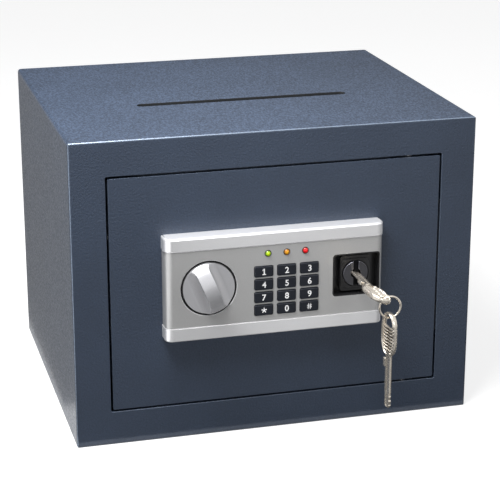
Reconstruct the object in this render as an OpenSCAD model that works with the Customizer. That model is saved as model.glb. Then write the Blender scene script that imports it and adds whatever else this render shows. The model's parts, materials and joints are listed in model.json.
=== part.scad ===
// Envelope safe: a steel cabinet with a deposit slot in its roof, a front door on
// concealed pivots, a keypad panel with a turning knob, and an emergency key lock.
// Millimetres, +Z up, +Y towards the back. The origin is on the underside, midway
// between the two floor anchor holes. Most modules below are written with y = 0 on
// the cabinet's front face, and at_front() puts them in place.

/* [Cabinet] */
// Overall width
cab_w = 350; // [320:1:420]
// Overall height
cab_h = 266; // [250:1:320]
// Overall depth
cab_d = 288; // [240:1:360]
// Sheet thickness of roof, floor, sides and back
wall_t = 3; // [2:0.5:3]
// Outer bend radius of the long edges
edge_r = 3; // [3:0.5:5]
// Width of the front frame around the door
border_w = 30; // [28:1:34]
// Plate thickness of the front frame
frame_t = 3; // [2.5:0.5:3.5]
// Rounding of the front frame's outer edge
front_r = 2; // [1:0.5:2.5]

/* [Deposit slot] */
// Length of the slot in the roof
slot_l = 190; // [150:1:220]
// Width of the slot in the roof
slot_w = 10; // [6:0.5:12]
// Distance of the slot's middle from the front face
slot_y = 113; // [100:1:140]
// Drop of the sloping baffle below the roof
baffle_drop = 38; // [30:1:45]
// Sheet thickness of the baffle
baffle_t = 1.5; // [1:0.25:2]

/* [Anchors] */
// Radius of the anchor holes
anchor_r = 5; // [4:0.5:6.5]
// Spacing of the two floor holes
floor_anchor_gap = 200; // [150:1:240]
// Spacing of the two back holes
back_anchor_gap = 200; // [150:1:240]
// Height of the back holes above the underside
back_anchor_z = 133; // [100:1:170]
// Thickness of the felt mat
mat_t = 2.5; // [2:0.5:4]

/* [Door] */
// Plate thickness of the door
door_t = 5; // [4:0.5:6]
// Gap between the door and the frame
door_gap = 2; // [1.75:0.25:2.5]
// Depth of the pivot axis behind the front face
pivot_y = 9; // [8.5:0.25:9.5]
// Radius of the pivot pins
pin_r = 3; // [2:0.25:3.25]
// Distance from the front face to the back of the door's inner cover
liner_y = 46; // [44:1:60]
// Sheet thickness of the inner cover
liner_t = 1.5; // [1:0.25:2]

/* [Bolts] */
// Radius of the two live bolts
bolt_r = 9; // [7:0.5:9]
// Distance of each live bolt above and below the door's middle
bolt_z = 40; // [35:1:44]
// Depth of the bolts' axes behind the front face
bolt_y = 24; // [23.5:0.5:25]
// Radius from the spindle to the crank pin, which sets the bolts' throw
crank_r = 12; // [9:0.5:13]

/* [Lock panel] */
// Width of the panel
panel_w = 190; // [188:1:200]
// Height of the panel
panel_h = 90; // [86:1:110]
// Distance that the panel stands out from the door
panel_d = 15; // [14:0.5:20]
// Radius of the panel's upright edges
panel_r = 7; // [5:0.5:7]
// Height of the bright band along the top and the bottom
band_h = 11.5; // [9:0.5:12.5]
// Distance of the panel's middle to the left of the door's middle
panel_left = 5; // [2:1:10]
// Distance of the panel's middle above the door's middle
panel_up = 5.5; // [0:0.5:10]
// Wall of the panel's housing
housing_t = 2.5; // [2:0.25:2.75]

/* [Knob] */
// Radius of the knob
knob_r = 22; // [18:0.5:22]
// Distance of the knob's middle from the panel's left end
knob_inset = 37; // [33:1:38]
// Width of the grip across the knob
grip_w = 11.5; // [10:0.5:14]
// Height of the grip's crest above the knob's rim
grip_h = 12; // [9:0.5:14]
// Radius of the hollow at the grip's foot
grip_foot = 8; // [4:0.5:8]
// Lean of the grip at rest
grip_lean = 22; // [0:1:45]

/* [Keypad] */
// Width of a push button
button_w = 16; // [12:0.25:16.5]
// Height of a push button
button_h = 9.3; // [7:0.1:9.4]
// Sideways pitch of the buttons
button_dx = 19.85; // [19:0.05:20.5]
// Upright pitch of the buttons
button_dz = 11.35; // [11.3:0.05:11.8]
// Travel of a push button
button_travel = 1.2; // [0.5:0.1:1.5]
// Distance of the button block to the right of the panel's middle
keypad_right = 9; // [6:0.5:12]
// Distance of the button block below the panel's middle
keypad_down = 6.5; // [4:0.5:7]
// Sideways pitch of the lamps
lamp_dx = 16.2; // [12:0.1:19]
// Height of the lamps above the panel's middle
lamp_up = 26; // [24.5:0.5:29]
// Radius of a lamp
lamp_r = 2.5; // [1.5:0.25:2.5]

/* [Emergency lock] */
// Width of the recess around the lock
recess_w = 42; // [38:0.5:42]
// Height of the recess around the lock
recess_h = 37.4; // [36:0.5:44]
// Distance of the lock's middle from the panel's right end
lock_inset = 24.5; // [24.5:0.5:26]
// Radius of the lock's round head
lock_head_r = 11; // [9:0.5:11.5]
// Radius of the turning plug
plug_r = 6; // [5.5:0.25:6.5]
// Angle that the plug is turned from upright in the rest pose
plug_turned = 110; // [100:1:112]
// Radius from the plug's axis to the cam pin
cam_r = 8; // [7:0.5:9]

/* [Keys] */
// Length of a key's bow
bow_l = 38; // [34:1:44]
// Width of a key's bow
bow_w = 21; // [18:0.5:24]
// Thickness of a key's bow
bow_t = 4.5; // [3:0.25:5]
// Width of the bow's rim
rim_w = 3; // [2.5:0.25:3.25]
// Length of a key's blade
blade_l = 46; // [40:1:55]
// Width of a key's blade
blade_w = 8; // [6:0.25:8.5]
// Thickness of a key's blade
blade_t = 2.2; // [1.5:0.1:2.4]
// Length of blade that is in the plug
key_in = 14; // [10:1:22]
// Radius of the key ring to the middle of its wire
ring_r = 9.1; // [8.5:0.1:12]
// Radius of the key ring's wire
wire_r = 0.9; // [0.6:0.1:1]

/* [Hidden] */
$fn = 48;

// Clearances
air = 0.4;            // between pieces that move past each other
fit_gap = 0.05;       // radial, for a pin that turns in a bore
link_gap = 0.7;       // each side of a crank pin in its slot
lay = 0.35;           // under a piece that lies loose

// Folded sheet under the slot
baffle_front = 8;     // from the slot's front edge to the top of the slope
baffle_back = 16;     // from the slot's rear edge to the foot of the slope
baffle_side = 8;
baffle_lip = 8;
baffle_foot = 14;

// Opening, door and pivot
open_w = cab_w - 2 * border_w;
open_h = cab_h - 2 * border_w;
door_w = open_w - 2 * door_gap;
door_h = open_h - 2 * door_gap;
mid_z = cab_h / 2;
swing_gap = 0.5;      // left between the door's far corner and the frame as it swings
swing_room = door_gap - swing_gap;
pivot_in = (pivot_y * pivot_y - swing_room * swing_room) / (2 * swing_room);
pivot_x = door_w / 2 - pivot_in;
lug_wall = 7;         // around the pin
lug_half = pin_r + lug_wall;
lug_t = 6;
bracket_t = 5;
bracket_off = 1;      // the brackets start this far outside the opening
dog_out = 8;
dog_in = 20;
dog_t = 3;
dog_h = 120;

// Stops behind the door's edge
stop_t = 1.5;
stop_gap = 0.5;
stop_foot = 10;
stop_reach = 8;
stop_inset = 25;

// Inner cover of the door
liner_left = -door_w / 2 + 10;
liner_right = pivot_x - lug_half - 2;
liner_lip = 8;
lip_gap = 2;          // from the cover's lip to the stops
liner_half_h = open_h / 2 - stop_reach - lip_gap - liner_lip;
screw_r = 2;

// Bolt work: crank, carriage, guide and posts
knob_x = knob_inset - panel_left - panel_w / 2;
knob_z = mid_z + panel_up;
crank_swing = 45;     // the crank pin turns from this far right of upright to as far left
throw = 2 * crank_r * sin(crank_swing);
spindle_r = 4;
bush_r = 7;
crank_y = door_t + 2;
crank_t = 4;
crank_pin_r = 3;
carriage_y = crank_y + crank_t + 2;
carriage_t = 3;
carriage_over = 12;   // past the bolts' axes, up and down
carriage_half_h = bolt_z + carriage_over;
flange_in = 30;       // from the door's left edge to the carriage
flange_x = -door_w / 2 + flange_in;
carriage_right = knob_x + 18;
guide_in = 4;
guide_x = -door_w / 2 + guide_in;
guide_t = 3;
bolt_tip = -door_w / 2 + 1.5;
spigot_r = 5;
post_r = 3;
post_in = 15;         // from the carriage's left end to the posts
post_x = flange_x + post_in;
post_z = 24;
strike_t = 3;
strike_over = 22;     // past the bolts' axes, up and down
strike_half_h = bolt_z + strike_over;

// Solenoid and its plunger
plunger_in = 43;      // from the carriage's left end to the plunger
plunger_x = flange_x + plunger_in;
plunger_r = 4;
plunger_travel = 6;
coil_seat = 2;        // from the cover's floor to the coil
plunger_y = carriage_y + carriage_t / 2;
plunger_top = mid_z - carriage_half_h - 1;
cross_pin_r = 1.5;
cross_pin_z = plunger_top - plunger_travel;
coil_w = 24;
coil_wing = 8;
coil_low = mid_z - liner_half_h + liner_t + coil_seat;
plunger_low = coil_low + 0.5;
coil_top = cross_pin_z - cross_pin_r - 1;

// Emergency lock, cam and release rod
lock_x = panel_w / 2 - panel_left - lock_inset;
lock_z = knob_z + 1;
plug_face = -panel_d;
plug_back = door_t + 12;
cam_t = 3;
cam_pin_r = 2;
cam_swing = plug_turned / 2;
rod_throw = 2 * cam_r * sin(cam_swing);
rod_y = plug_back + cam_t + 1;
rod_t = 2;
rod_h = 10;
rod_z = cross_pin_z + 24;
rod_post_x = [-15, lock_x - 28];

// Panel
panel_x = -panel_left;
panel_z = mid_z + panel_up;
step_in = 0.6;        // the middle of the panel lies this far behind its bands
fascia_t = 0.8;
inner_in = step_in + fascia_t;
face_y = -panel_d + step_in;
wall_back = -panel_d + inner_in + housing_t;
well_r = knob_r + 2;
well_t = 1.2;
recess_r = 3;
keypad_x = panel_x + keypad_right;
keypad_z = panel_z - keypad_down;
boss_in = 6;
boss_x = panel_w / 2 - boss_in;
boss_z = panel_h / 2 - boss_in;
panel_screw_in = 6;   // from the door into the bosses

// Buttons and board
button_out = 1.4;
button_flange = 0.6;
button_back = wall_back + air + 1.5;
membrane_y = button_back + button_travel + air;
membrane_t = 1.2;
board_y = membrane_y + membrane_t;
board_t = 1.6;

// Battery compartment in the inner cover
cell_r = 7;
cell_l = 50;
cell_dz = 14.5;
cell_count = 4;
box_t = 1.2;
box_inset = 52;       // from the cover's right side to the box's middle
box_down = 36;
box_x = liner_right - box_inset;
box_z = mid_z - box_down;
contact_t = 1;
box_w = cell_l + 2 * contact_t + 2 * box_t;
box_h = cell_count * cell_dz + 2 * box_t;
box_front = liner_y - liner_t - 2 * cell_r - box_t - 0.8;
cover_t = 1.8;
cover_pin_r = 1.2;
reset_x = -25;
reset_up = 50;
reset_z = mid_z + reset_up;
reset_r = 4;

// Keys and ring, in the photograph's rest pose
bow_end_r = bow_w / 2 - 0.1;
bow_y = plug_face + key_in - blade_l - bow_l / 2;
key_tilt = plug_turned - 90;
hang_v = bow_l / 2 - 7;
hang_dv = max(0, hang_v - (bow_l / 2 - bow_end_r));
rim_mid_r = bow_end_r - rim_w / 2;
hang_u = sqrt(rim_mid_r * rim_mid_r - hang_dv * hang_dv);
hang_x = lock_x + hang_u * cos(key_tilt);
hang_z = lock_z - hang_u * sin(key_tilt);
hang_y = bow_y - hang_v;
rim_half = sqrt(rim_w * rim_w + bow_t * bow_t) / 2;
ring_x = hang_x;
ring_z = hang_z - (ring_r - wire_r - rim_half - lay);
bar_r = 0.9;
bar_pitch = 2.7;
bar_start = -5.5;
spare_twist = -80;
spare_drop = 0.6;     // above the wire, which rises at both sides of the rim
spare_top = ring_z - ring_r + wire_r + spare_drop + rim_w;
spare_z = spare_top - bow_l / 2;

// Half the length of a bar across a key's bow, from mid rim to mid rim
function bar_half(v) = let (over = max(0, v - (bow_l / 2 - bow_end_r)))
    sqrt(rim_mid_r * rim_mid_r - over * over);

// Puts what is drawn from the front face back where the origin is
module at_front() {
    translate([0, -cab_d / 2, 0]) children();
}

module slab(low, high) {
    translate(low) cube(high - low);
}

// A round bar along Y
module rod_along_y(r, y0, y1, x, z) {
    translate([x, y0, z]) rotate([-90, 0, 0]) cylinder(h = y1 - y0, r = r);
}

// A round bar along X
module rod_along_x(r, x0, x1, y, z) {
    translate([x0, y, z]) rotate([0, 90, 0]) cylinder(h = x1 - x0, r = r);
}

// A flat outline in X and Z, made solid from y0 to y1
module plate_y(y0, y1) {
    translate([0, y1, 0]) rotate([90, 0, 0]) linear_extrude(y1 - y0) children();
}

// A flat outline in Y and Z, made solid from x0 to x1
module plate_x(x0, x1) {
    translate([x0, 0, 0]) rotate([90, 0, 90]) linear_extrude(x1 - x0) children();
}

module round_rect(w, h, r) {
    square([w - 2 * r, h], center = true);
    square([w, h - 2 * r], center = true);
    for (x = [-1, 1], z = [-1, 1])
        translate([x * (w / 2 - r), z * (h / 2 - r)]) circle(r);
}

// Cabinet

// The outside of the cabinet: long edges bent, front edges rounded
module envelope() {
    intersection() {
        plate_y(0, cab_d) translate([0, mid_z]) round_rect(cab_w, cab_h, edge_r);
        plate_x(-cab_w / 2, cab_w / 2) front_rounded(cab_h, 0);
        linear_extrude(cab_h) rotate(-90) mirror([1, 0]) front_rounded(cab_w, -cab_w / 2);
    }
}

// Half-open rectangle from y = 0 to the back, with its two front corners rounded
module front_rounded(span, start) {
    translate([front_r, start]) square([cab_d - front_r, span]);
    translate([0, start + front_r]) square([cab_d, span - 2 * front_r]);
    for (s = [start + front_r, start + span - front_r])
        translate([front_r, s]) circle(front_r);
}

module slot_hole(extra) {
    for (x = [-1, 1])
        translate([x * (slot_l - slot_w) / 2, slot_y, cab_h - wall_t - extra])
            cylinder(h = wall_t + 2 * extra, r = slot_w / 2);
    slab([-(slot_l - slot_w) / 2, slot_y - slot_w / 2, cab_h - wall_t - extra],
        [(slot_l - slot_w) / 2, slot_y + slot_w / 2, cab_h + extra]);
}

module floor_holes(r, z0, z1) {
    for (x = [-1, 1])
        translate([x * floor_anchor_gap / 2, cab_d / 2, z0]) cylinder(h = z1 - z0, r = r);
}

module cabinet_shell() {
    color([0.27, 0.31, 0.37]) at_front() difference() {
        intersection() {
            envelope();
            slab([-cab_w, frame_t, -1], [cab_w, cab_d + 1, cab_h + 1]);
        }
        slab([-cab_w / 2 + wall_t, 0, wall_t], [cab_w / 2 - wall_t, cab_d + 1, cab_h - wall_t]);
        slot_hole(1);
        floor_holes(anchor_r, -1, wall_t + 1);
    }
}

module front_frame() {
    color([0.25, 0.29, 0.35]) at_front() difference() {
        intersection() {
            envelope();
            slab([-cab_w, -1, -1], [cab_w, frame_t, cab_h + 1]);
        }
        plate_y(-1, frame_t + 1) translate([0, mid_z]) round_rect(open_w, open_h, 1.5);
    }
}

module back_panel() {
    color([0.25, 0.29, 0.35]) at_front() difference() {
        slab([-cab_w / 2 + wall_t, cab_d - wall_t, wall_t],
            [cab_w / 2 - wall_t, cab_d, cab_h - wall_t]);
        for (x = [-1, 1])
            rod_along_y(anchor_r, cab_d - wall_t - 1, cab_d + 1,
                x * back_anchor_gap / 2, back_anchor_z);
    }
}

// Cross-section of one stop strip, with v = 0 at the edge of the opening
module stop_section() {
    back = door_t + stop_gap;
    polygon([[frame_t, stop_foot], [frame_t, 0], [back, 0], [back, -stop_reach],
        [back + stop_t, -stop_reach], [back + stop_t, stop_t], [frame_t + stop_t, stop_t],
        [frame_t + stop_t, stop_foot]]);
}

module door_stops() {
    color([0.3, 0.34, 0.4]) at_front()
        plate_x(-open_w / 2 + stop_inset, pivot_x - lug_half - 6) {
            translate([0, mid_z + open_h / 2]) stop_section();
            translate([0, mid_z - open_h / 2]) mirror([0, 1]) stop_section();
        }
}

// Angle behind the frame, with a square window for each bolt
module strike_plate() {
    x1 = -open_w / 2;
    window = bolt_r + 1.5;
    deep = bolt_y + window + 5;
    color([0.6, 0.62, 0.65]) at_front() difference() {
        union() {
            slab([x1 - strike_t, frame_t, mid_z - strike_half_h],
                [x1, deep, mid_z + strike_half_h]);
            slab([x1 - border_w / 2, frame_t, mid_z - strike_half_h],
                [x1 - strike_t, frame_t + strike_t, mid_z + strike_half_h]);
        }
        for (z = [-1, 1])
            slab([x1 - strike_t - 1, bolt_y - window, mid_z + z * bolt_z - window],
                [x1 + 1, bolt_y + window, mid_z + z * bolt_z + window]);
    }
}

// Draws its children at the top, and again upside down at the bottom
module top_and_bottom() {
    children();
    translate([0, 0, 2 * mid_z]) mirror([0, 0, 1]) children();
}

module hinge_brackets() {
    z0 = mid_z + open_h / 2 + bracket_off;
    color([0.6, 0.62, 0.65]) at_front() top_and_bottom() difference() {
        slab([pivot_x - lug_half, frame_t, z0],
            [pivot_x + lug_half, pivot_y + pin_r + 5, z0 + bracket_t]);
        translate([pivot_x, pivot_y, z0 - 1]) cylinder(h = bracket_t + 2, r = pin_r);
    }
}

module hinge_pins() {
    z0 = mid_z + open_h / 2 + bracket_off;
    ear_top = mid_z + door_h / 2;
    color([0.8, 0.8, 0.82]) at_front() top_and_bottom() translate([pivot_x, pivot_y, 0]) {
        translate([0, 0, ear_top - lug_t - 2])
            cylinder(h = z0 + bracket_t - ear_top + lug_t + 2, r = pin_r);
        translate([0, 0, ear_top + lay]) cylinder(h = z0 - ear_top - lay, r = pin_r + 2.5);
    }
}

// Sloping sheet under the slot, folded from a foot on the roof, with a cheek at each end
module slot_baffle() {
    roof = cab_h - wall_t;
    y0 = slot_y - slot_w / 2 - baffle_front;
    y1 = slot_y + slot_w / 2 + baffle_back;
    low = roof - baffle_drop;
    half = slot_l / 2 + baffle_side;
    color([0.5, 0.52, 0.55]) at_front() {
        plate_x(-half, half) polygon([[y0 - baffle_foot, roof], [y0 - baffle_foot, roof - baffle_t],
            [y0 - baffle_t, roof - baffle_t], [y1 - baffle_t, low], [y1 - baffle_t, low - baffle_lip],
            [y1, low - baffle_lip], [y1, low + baffle_t], [y0 + baffle_t, roof - baffle_t],
            [y0 + baffle_t, roof]]);
        for (x = [-half - baffle_t, half])
            plate_x(x, x + baffle_t)
                polygon([[y0 - baffle_foot, roof], [y0 - baffle_t, roof - baffle_t],
                    [y1 - baffle_t, low], [y1, low], [y1, roof]]);
    }
}

module floor_mat() {
    edge = 1;
    color([0.2, 0.2, 0.22]) at_front() difference() {
        slab([-cab_w / 2 + wall_t + edge, frame_t + 12, wall_t],
            [cab_w / 2 - wall_t - edge, cab_d - wall_t - edge, wall_t + mat_t]);
        floor_holes(anchor_r + 4, 0, wall_t + mat_t + 1);
    }
}

// Door

module panel_screw_points() {
    for (x = [-1, 1], z = [-1, 1])
        translate([panel_x + x * boss_x, panel_z + z * boss_z]) children();
}

module door_plate() {
    color([0.24, 0.28, 0.34]) at_front() difference() {
        plate_y(0, door_t) translate([0, mid_z]) round_rect(door_w, door_h, 1);
        rod_along_y(bush_r, -1, door_t + 1, knob_x, knob_z);
        rod_along_y(lock_head_r - 1, -1, door_t + 1, lock_x, lock_z);
        rod_along_y(8, -1, door_t + 1, keypad_x, panel_z + 8);
        plate_y(-1, door_t + 1) panel_screw_points() circle(screw_r);
    }
}

module hinge_lugs() {
    ear_top = mid_z + door_h / 2;
    color([0.6, 0.62, 0.65]) at_front() top_and_bottom() difference() {
        union() {
            slab([pivot_x - lug_half, door_t, ear_top - lug_t],
                [pivot_x + lug_half, pivot_y + pin_r + 4, ear_top]);
            slab([pivot_x - lug_half, door_t, ear_top - 24],
                [pivot_x + lug_half, door_t + 3, ear_top - lug_t]);
        }
        translate([pivot_x, pivot_y, ear_top - lug_t - 1])
            cylinder(h = lug_t + 2, r = pin_r + fit_gap);
        // room behind the ear for the end of the pin
        translate([pivot_x, pivot_y, ear_top - lug_t - 4])
            cylinder(h = 4, r = pin_r + air);
    }
}

module dog_bar() {
    color([0.6, 0.62, 0.65]) at_front()
        slab([door_w / 2 - dog_in, door_t, mid_z - dog_h / 2],
            [door_w / 2 + dog_out, door_t + dog_t, mid_z + dog_h / 2]);
}

module liner_screw_points() {
    inset = liner_lip / 2;
    for (x = [liner_left + 30, liner_right - 30], z = [-1, 1])
        translate([x, mid_z + z * (liner_half_h + inset)]) children();
}

// Folded tray over the mechanism, with a lip against the door along the top and bottom
module door_liner() {
    color([0.34, 0.36, 0.4]) at_front() difference() {
        union() {
            slab([liner_left, door_t, mid_z - liner_half_h],
                [liner_right, liner_y, mid_z + liner_half_h]);
            slab([liner_left, door_t, mid_z - liner_half_h - liner_lip],
                [liner_right, door_t + liner_t, mid_z + liner_half_h + liner_lip]);
        }
        slab([liner_left + liner_t, door_t - 1, mid_z - liner_half_h + liner_t],
            [liner_right - liner_t, liner_y - liner_t, mid_z + liner_half_h - liner_t]);
        for (z = [-1, 1])
            rod_along_x(bolt_r + 1.5, liner_left - 1, liner_left + liner_t + 1,
                bolt_y, mid_z + z * bolt_z);
        slab([box_x - box_w / 2 + 2, liner_y - liner_t - 1, box_z - box_h / 2 + 2],
            [box_x + box_w / 2 - 2, liner_y + 1, box_z + box_h / 2 - 2]);
        rod_along_y(reset_r + air, liner_y - liner_t - 1, liner_y + 1, reset_x, reset_z);
        plate_y(door_t - 1, door_t + liner_t + 1) liner_screw_points() circle(screw_r);
    }
}

module liner_screws() {
    color([0.75, 0.75, 0.77]) at_front() {
        plate_y(door_t, door_t + liner_t) liner_screw_points() circle(screw_r);
        plate_y(door_t + liner_t, door_t + liner_t + 2) liner_screw_points() circle(screw_r + 1.8);
    }
}

// Angle that the live bolts slide through
module bolt_guide() {
    half = bolt_z + bolt_r + 5;
    color([0.6, 0.62, 0.65]) at_front() difference() {
        slab([guide_x, door_t, mid_z - half],
            [guide_x + guide_t, bolt_y + bolt_r + 4, mid_z + half]);
        for (z = [-1, 1])
            rod_along_x(bolt_r + air, guide_x - 1, guide_x + guide_t + 1,
                bolt_y, mid_z + z * bolt_z);
    }
}

// A shouldered post on the back of the door: foot, neck through a slot, and head
module post(x, z, y0, t) {
    rod_along_y(post_r + 2, door_t, y0 - air, x, z);
    rod_along_y(post_r, y0 - air, y0 + t + air, x, z);
    rod_along_y(post_r + 2, y0 + t + air, y0 + t + air + 1.5, x, z);
}

module guide_posts() {
    color([0.78, 0.78, 0.8]) at_front() {
        for (z = [-1, 1])
            post(post_x, mid_z + z * post_z, carriage_y, carriage_t);
        for (x = rod_post_x)
            post(x, rod_z + rod_h / 2, rod_y, rod_t);
    }
}

module knob_bush() {
    color([0.8, 0.65, 0.35]) at_front() difference() {
        union() {
            rod_along_y(bush_r, 0, door_t, knob_x, knob_z);
            rod_along_y(bush_r + 2, door_t, door_t + 1.5, knob_x, knob_z);
        }
        rod_along_y(spindle_r + fit_gap, -1, door_t + 3, knob_x, knob_z);
    }
}

// Lock panel

// Outline of the panel seen from above, drawn in by inset all round its front, and
// reaching as far as back behind the door's face
module panel_plan(inset, back = 0) {
    r = panel_r - inset;
    translate([-panel_w / 2 + panel_r, -panel_d + inset])
        square([panel_w - 2 * panel_r, panel_d - inset + back]);
    translate([-panel_w / 2 + inset, -panel_d + panel_r])
        square([panel_w - 2 * inset, panel_d - panel_r + back]);
    for (x = [-1, 1])
        translate([x * (panel_w / 2 - panel_r), -panel_d + panel_r]) circle(r);
}

module panel_block(inset, z0, z1, back = 0) {
    translate([panel_x, 0, panel_z + z0]) linear_extrude(z1 - z0) panel_plan(inset, back);
}

module button_points() {
    for (col = [0 : 2], row = [0 : 3])
        translate([keypad_x + (col - 1) * button_dx, keypad_z + (1.5 - row) * button_dz])
            children();
}

module lamp_points() {
    for (i = [-1 : 1])
        translate([keypad_x + i * lamp_dx, panel_z + lamp_up]) children();
}

// Everything that is cut through the front of the panel
module panel_cutouts() {
    plate_y(-panel_d - 1, wall_back + 1) {
        button_points() round_rect(button_w + 2 * air, button_h + 2 * air, 1.6);
        lamp_points() circle(lamp_r + 0.2);
        translate([lock_x, lock_z]) round_rect(recess_w, recess_h, recess_r);
        translate([knob_x, knob_z]) circle(well_r);
    }
}

module panel_housing() {
    half = panel_h / 2;
    color([0.75, 0.75, 0.76]) at_front() difference() {
        union() {
            panel_block(0, half - band_h, half);
            panel_block(0, -half, -half + band_h);
            panel_block(inner_in, -half + band_h, half - band_h);
        }
        difference() {
            panel_block(inner_in + housing_t, -half + housing_t, half - housing_t, 1);
            plate_y(wall_back, 0) panel_screw_points() circle(screw_r + 2);
        }
        panel_cutouts();
        plate_y(-panel_screw_in, 1) panel_screw_points() circle(screw_r);
        // relief behind the recess, which reaches the rounded side
        slab([lock_x - recess_w / 2, wall_back - 1, lock_z - recess_h / 2],
            [lock_x + recess_w / 2, 1, lock_z + recess_h / 2]);
    }
}

module panel_fascia() {
    half = panel_h / 2 - band_h;
    color([0.6, 0.61, 0.61]) at_front() difference() {
        panel_block(step_in, -half, half);
        panel_block(inner_in, -half - 1, half + 1, 1);
        panel_cutouts();
    }
}

module panel_screws() {
    color([0.75, 0.75, 0.77]) at_front() {
        plate_y(-panel_screw_in, door_t) panel_screw_points() circle(screw_r);
        plate_y(door_t, door_t + 2) panel_screw_points() circle(screw_r + 1.8);
    }
}

module keypad_membrane() {
    w = 2 * button_dx + button_w;
    h = 3 * button_dz + button_h;
    color([0.15, 0.15, 0.16]) at_front()
        plate_y(membrane_y, board_y) translate([keypad_x, keypad_z]) round_rect(w, h, 2);
}

module circuit_board() {
    w = 2 * button_dx + button_w + 2;
    top = lamp_up + keypad_down + 5;
    low = 1.5 * button_dz + button_h / 2 + 1;
    color([0.1, 0.4, 0.2]) at_front() {
        slab([keypad_x - w / 2, board_y, keypad_z - low],
            [keypad_x + w / 2, board_y + board_t, keypad_z + top]);
        // standoffs to the door
        for (x = [-1, 1], z = [keypad_z - low + 4, keypad_z + top - 4])
            rod_along_y(2, board_y + board_t, 0, keypad_x + x * (w / 2 - 4), z);
    }
}

module lamp_bezels() {
    color([0.15, 0.13, 0.1]) at_front() plate_y(face_y - 0.5, face_y)
        lamp_points() difference() {
            circle(lamp_r + 0.8);
            circle(lamp_r + 0.1);
        }
}

module lamp(i) {
    x = keypad_x + i * lamp_dx;
    z = panel_z + lamp_up;
    at_front() {
        rod_along_y(lamp_r, face_y, board_y, x, z);
        intersection() {
            translate([x, face_y, z]) sphere(lamp_r);
            rod_along_y(lamp_r, face_y - lamp_r - 1, face_y, x, z);
        }
    }
}

module lamp_green() {
    color([0.55, 0.8, 0.1]) lamp(-1);
}

module lamp_amber() {
    color([0.85, 0.6, 0.1]) lamp(0);
}

module lamp_red() {
    color([0.85, 0.1, 0.12]) lamp(1);
}

// Black sleeve that lines the well around the knob
module knob_ring() {
    color([0.05, 0.05, 0.05]) at_front() difference() {
        rod_along_y(well_r, -panel_d + step_in - 0.4, 0, knob_x, knob_z);
        rod_along_y(well_r - well_t, -panel_d - 1, -2, knob_x, knob_z);
        rod_along_y(bush_r + 2, -3, 1, knob_x, knob_z);
    }
}

// Black pocket around the lock, with a raised pad
module lock_escutcheon() {
    t = 1.2;
    pad_w = 27;
    pad_h = 31;
    color([0.06, 0.06, 0.07]) at_front() difference() {
        intersection() {
            union() {
                plate_y(-panel_d, 0) translate([lock_x, lock_z]) difference() {
                    round_rect(recess_w, recess_h, recess_r);
                    round_rect(recess_w - 2 * t, recess_h - 2 * t, recess_r - t);
                }
                plate_y(-5, 0) translate([lock_x, lock_z]) round_rect(recess_w, recess_h, recess_r);
                plate_y(-panel_d + 4, -5) translate([lock_x, lock_z]) round_rect(pad_w, pad_h, 3);
            }
            translate([panel_x, 0, panel_z - recess_h])
                linear_extrude(2 * recess_h) panel_plan(step_in);
        }
        rod_along_y(lock_head_r, -panel_d - 1, 1, lock_x, lock_z);
    }
}

module lock_body() {
    head_y = -panel_d + 1;
    color([0.1, 0.1, 0.11]) at_front() difference() {
        union() {
            rod_along_y(lock_head_r, head_y, 0, lock_x, lock_z);
            rod_along_y(lock_head_r - 1, 0, door_t + 11, lock_x, lock_z);
            // nut behind the door
            translate([lock_x, door_t, lock_z]) rotate([-90, 0, 0])
                cylinder(h = 4, r = lock_head_r + 4, $fn = 6);
        }
        rod_along_y(plug_r + fit_gap, head_y - 1, plug_back + 1, lock_x, lock_z);
        // upright channel across the head
        slab([lock_x - 2.2, head_y - 1, lock_z - lock_head_r - 1],
            [lock_x + 2.2, head_y + 3, lock_z + lock_head_r + 1]);
    }
}

// Inside the door

module solenoid() {
    wide = coil_w / 2 + coil_wing;
    color([0.55, 0.5, 0.3]) at_front() difference() {
        union() {
            slab([plunger_x - coil_w / 2, door_t, coil_low],
                [plunger_x + coil_w / 2, plunger_y + plunger_r + 4, coil_top]);
            slab([plunger_x - wide, door_t, coil_low], [plunger_x + wide, door_t + 2, coil_top]);
        }
        translate([plunger_x, plunger_y, coil_low - 1])
            cylinder(h = coil_top - coil_low + 2, r = plunger_r + air);
    }
}

module solenoid_plunger() {
    color([0.8, 0.8, 0.82]) at_front() {
        translate([plunger_x, plunger_y, plunger_low])
            cylinder(h = plunger_top - plunger_low, r = plunger_r);
        rod_along_y(cross_pin_r, plunger_y, rod_y + rod_t + 1, plunger_x, cross_pin_z);
    }
}

module battery_box() {
    color([0.12, 0.12, 0.13]) at_front() difference() {
        slab([box_x - box_w / 2, box_front, box_z - box_h / 2],
            [box_x + box_w / 2, liner_y - liner_t, box_z + box_h / 2]);
        slab([box_x - box_w / 2 + box_t, box_front + box_t, box_z - box_h / 2 + box_t],
            [box_x + box_w / 2 - box_t, liner_y, box_z + box_h / 2 - box_t]);
    }
}

// Places its children at each cell's axis
module cell_rows() {
    for (i = [0 : cell_count - 1])
        translate([0, box_front + box_t + cell_r, box_z + (i - (cell_count - 1) / 2) * cell_dz])
            children();
}

module batteries() {
    color([0.7, 0.6, 0.3]) at_front() cell_rows()
        rod_along_x(cell_r, box_x - cell_l / 2, box_x + cell_l / 2, 0, 0);
}

// A spring leaf between each end of a cell and the box
module battery_contacts() {
    half = 4;
    color([0.8, 0.78, 0.7]) at_front() cell_rows()
        for (x = [box_x - cell_l / 2 - contact_t, box_x + cell_l / 2])
            slab([x, -half, -half], [x + contact_t, half, half]);
}

// Lid over the cells, on a pin along its lower edge
module battery_cover() {
    z0 = box_z - box_h / 2;
    y0 = liner_y + lay;
    color([0.15, 0.15, 0.16]) at_front() {
        slab([box_x - box_w / 2, y0, z0 + cover_pin_r],
            [box_x + box_w / 2, y0 + cover_t, z0 + box_h]);
        rod_along_x(cover_pin_r, box_x - box_w / 2, box_x + box_w / 2,
            y0 + cover_pin_r, z0 + cover_pin_r);
    }
}

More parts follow.
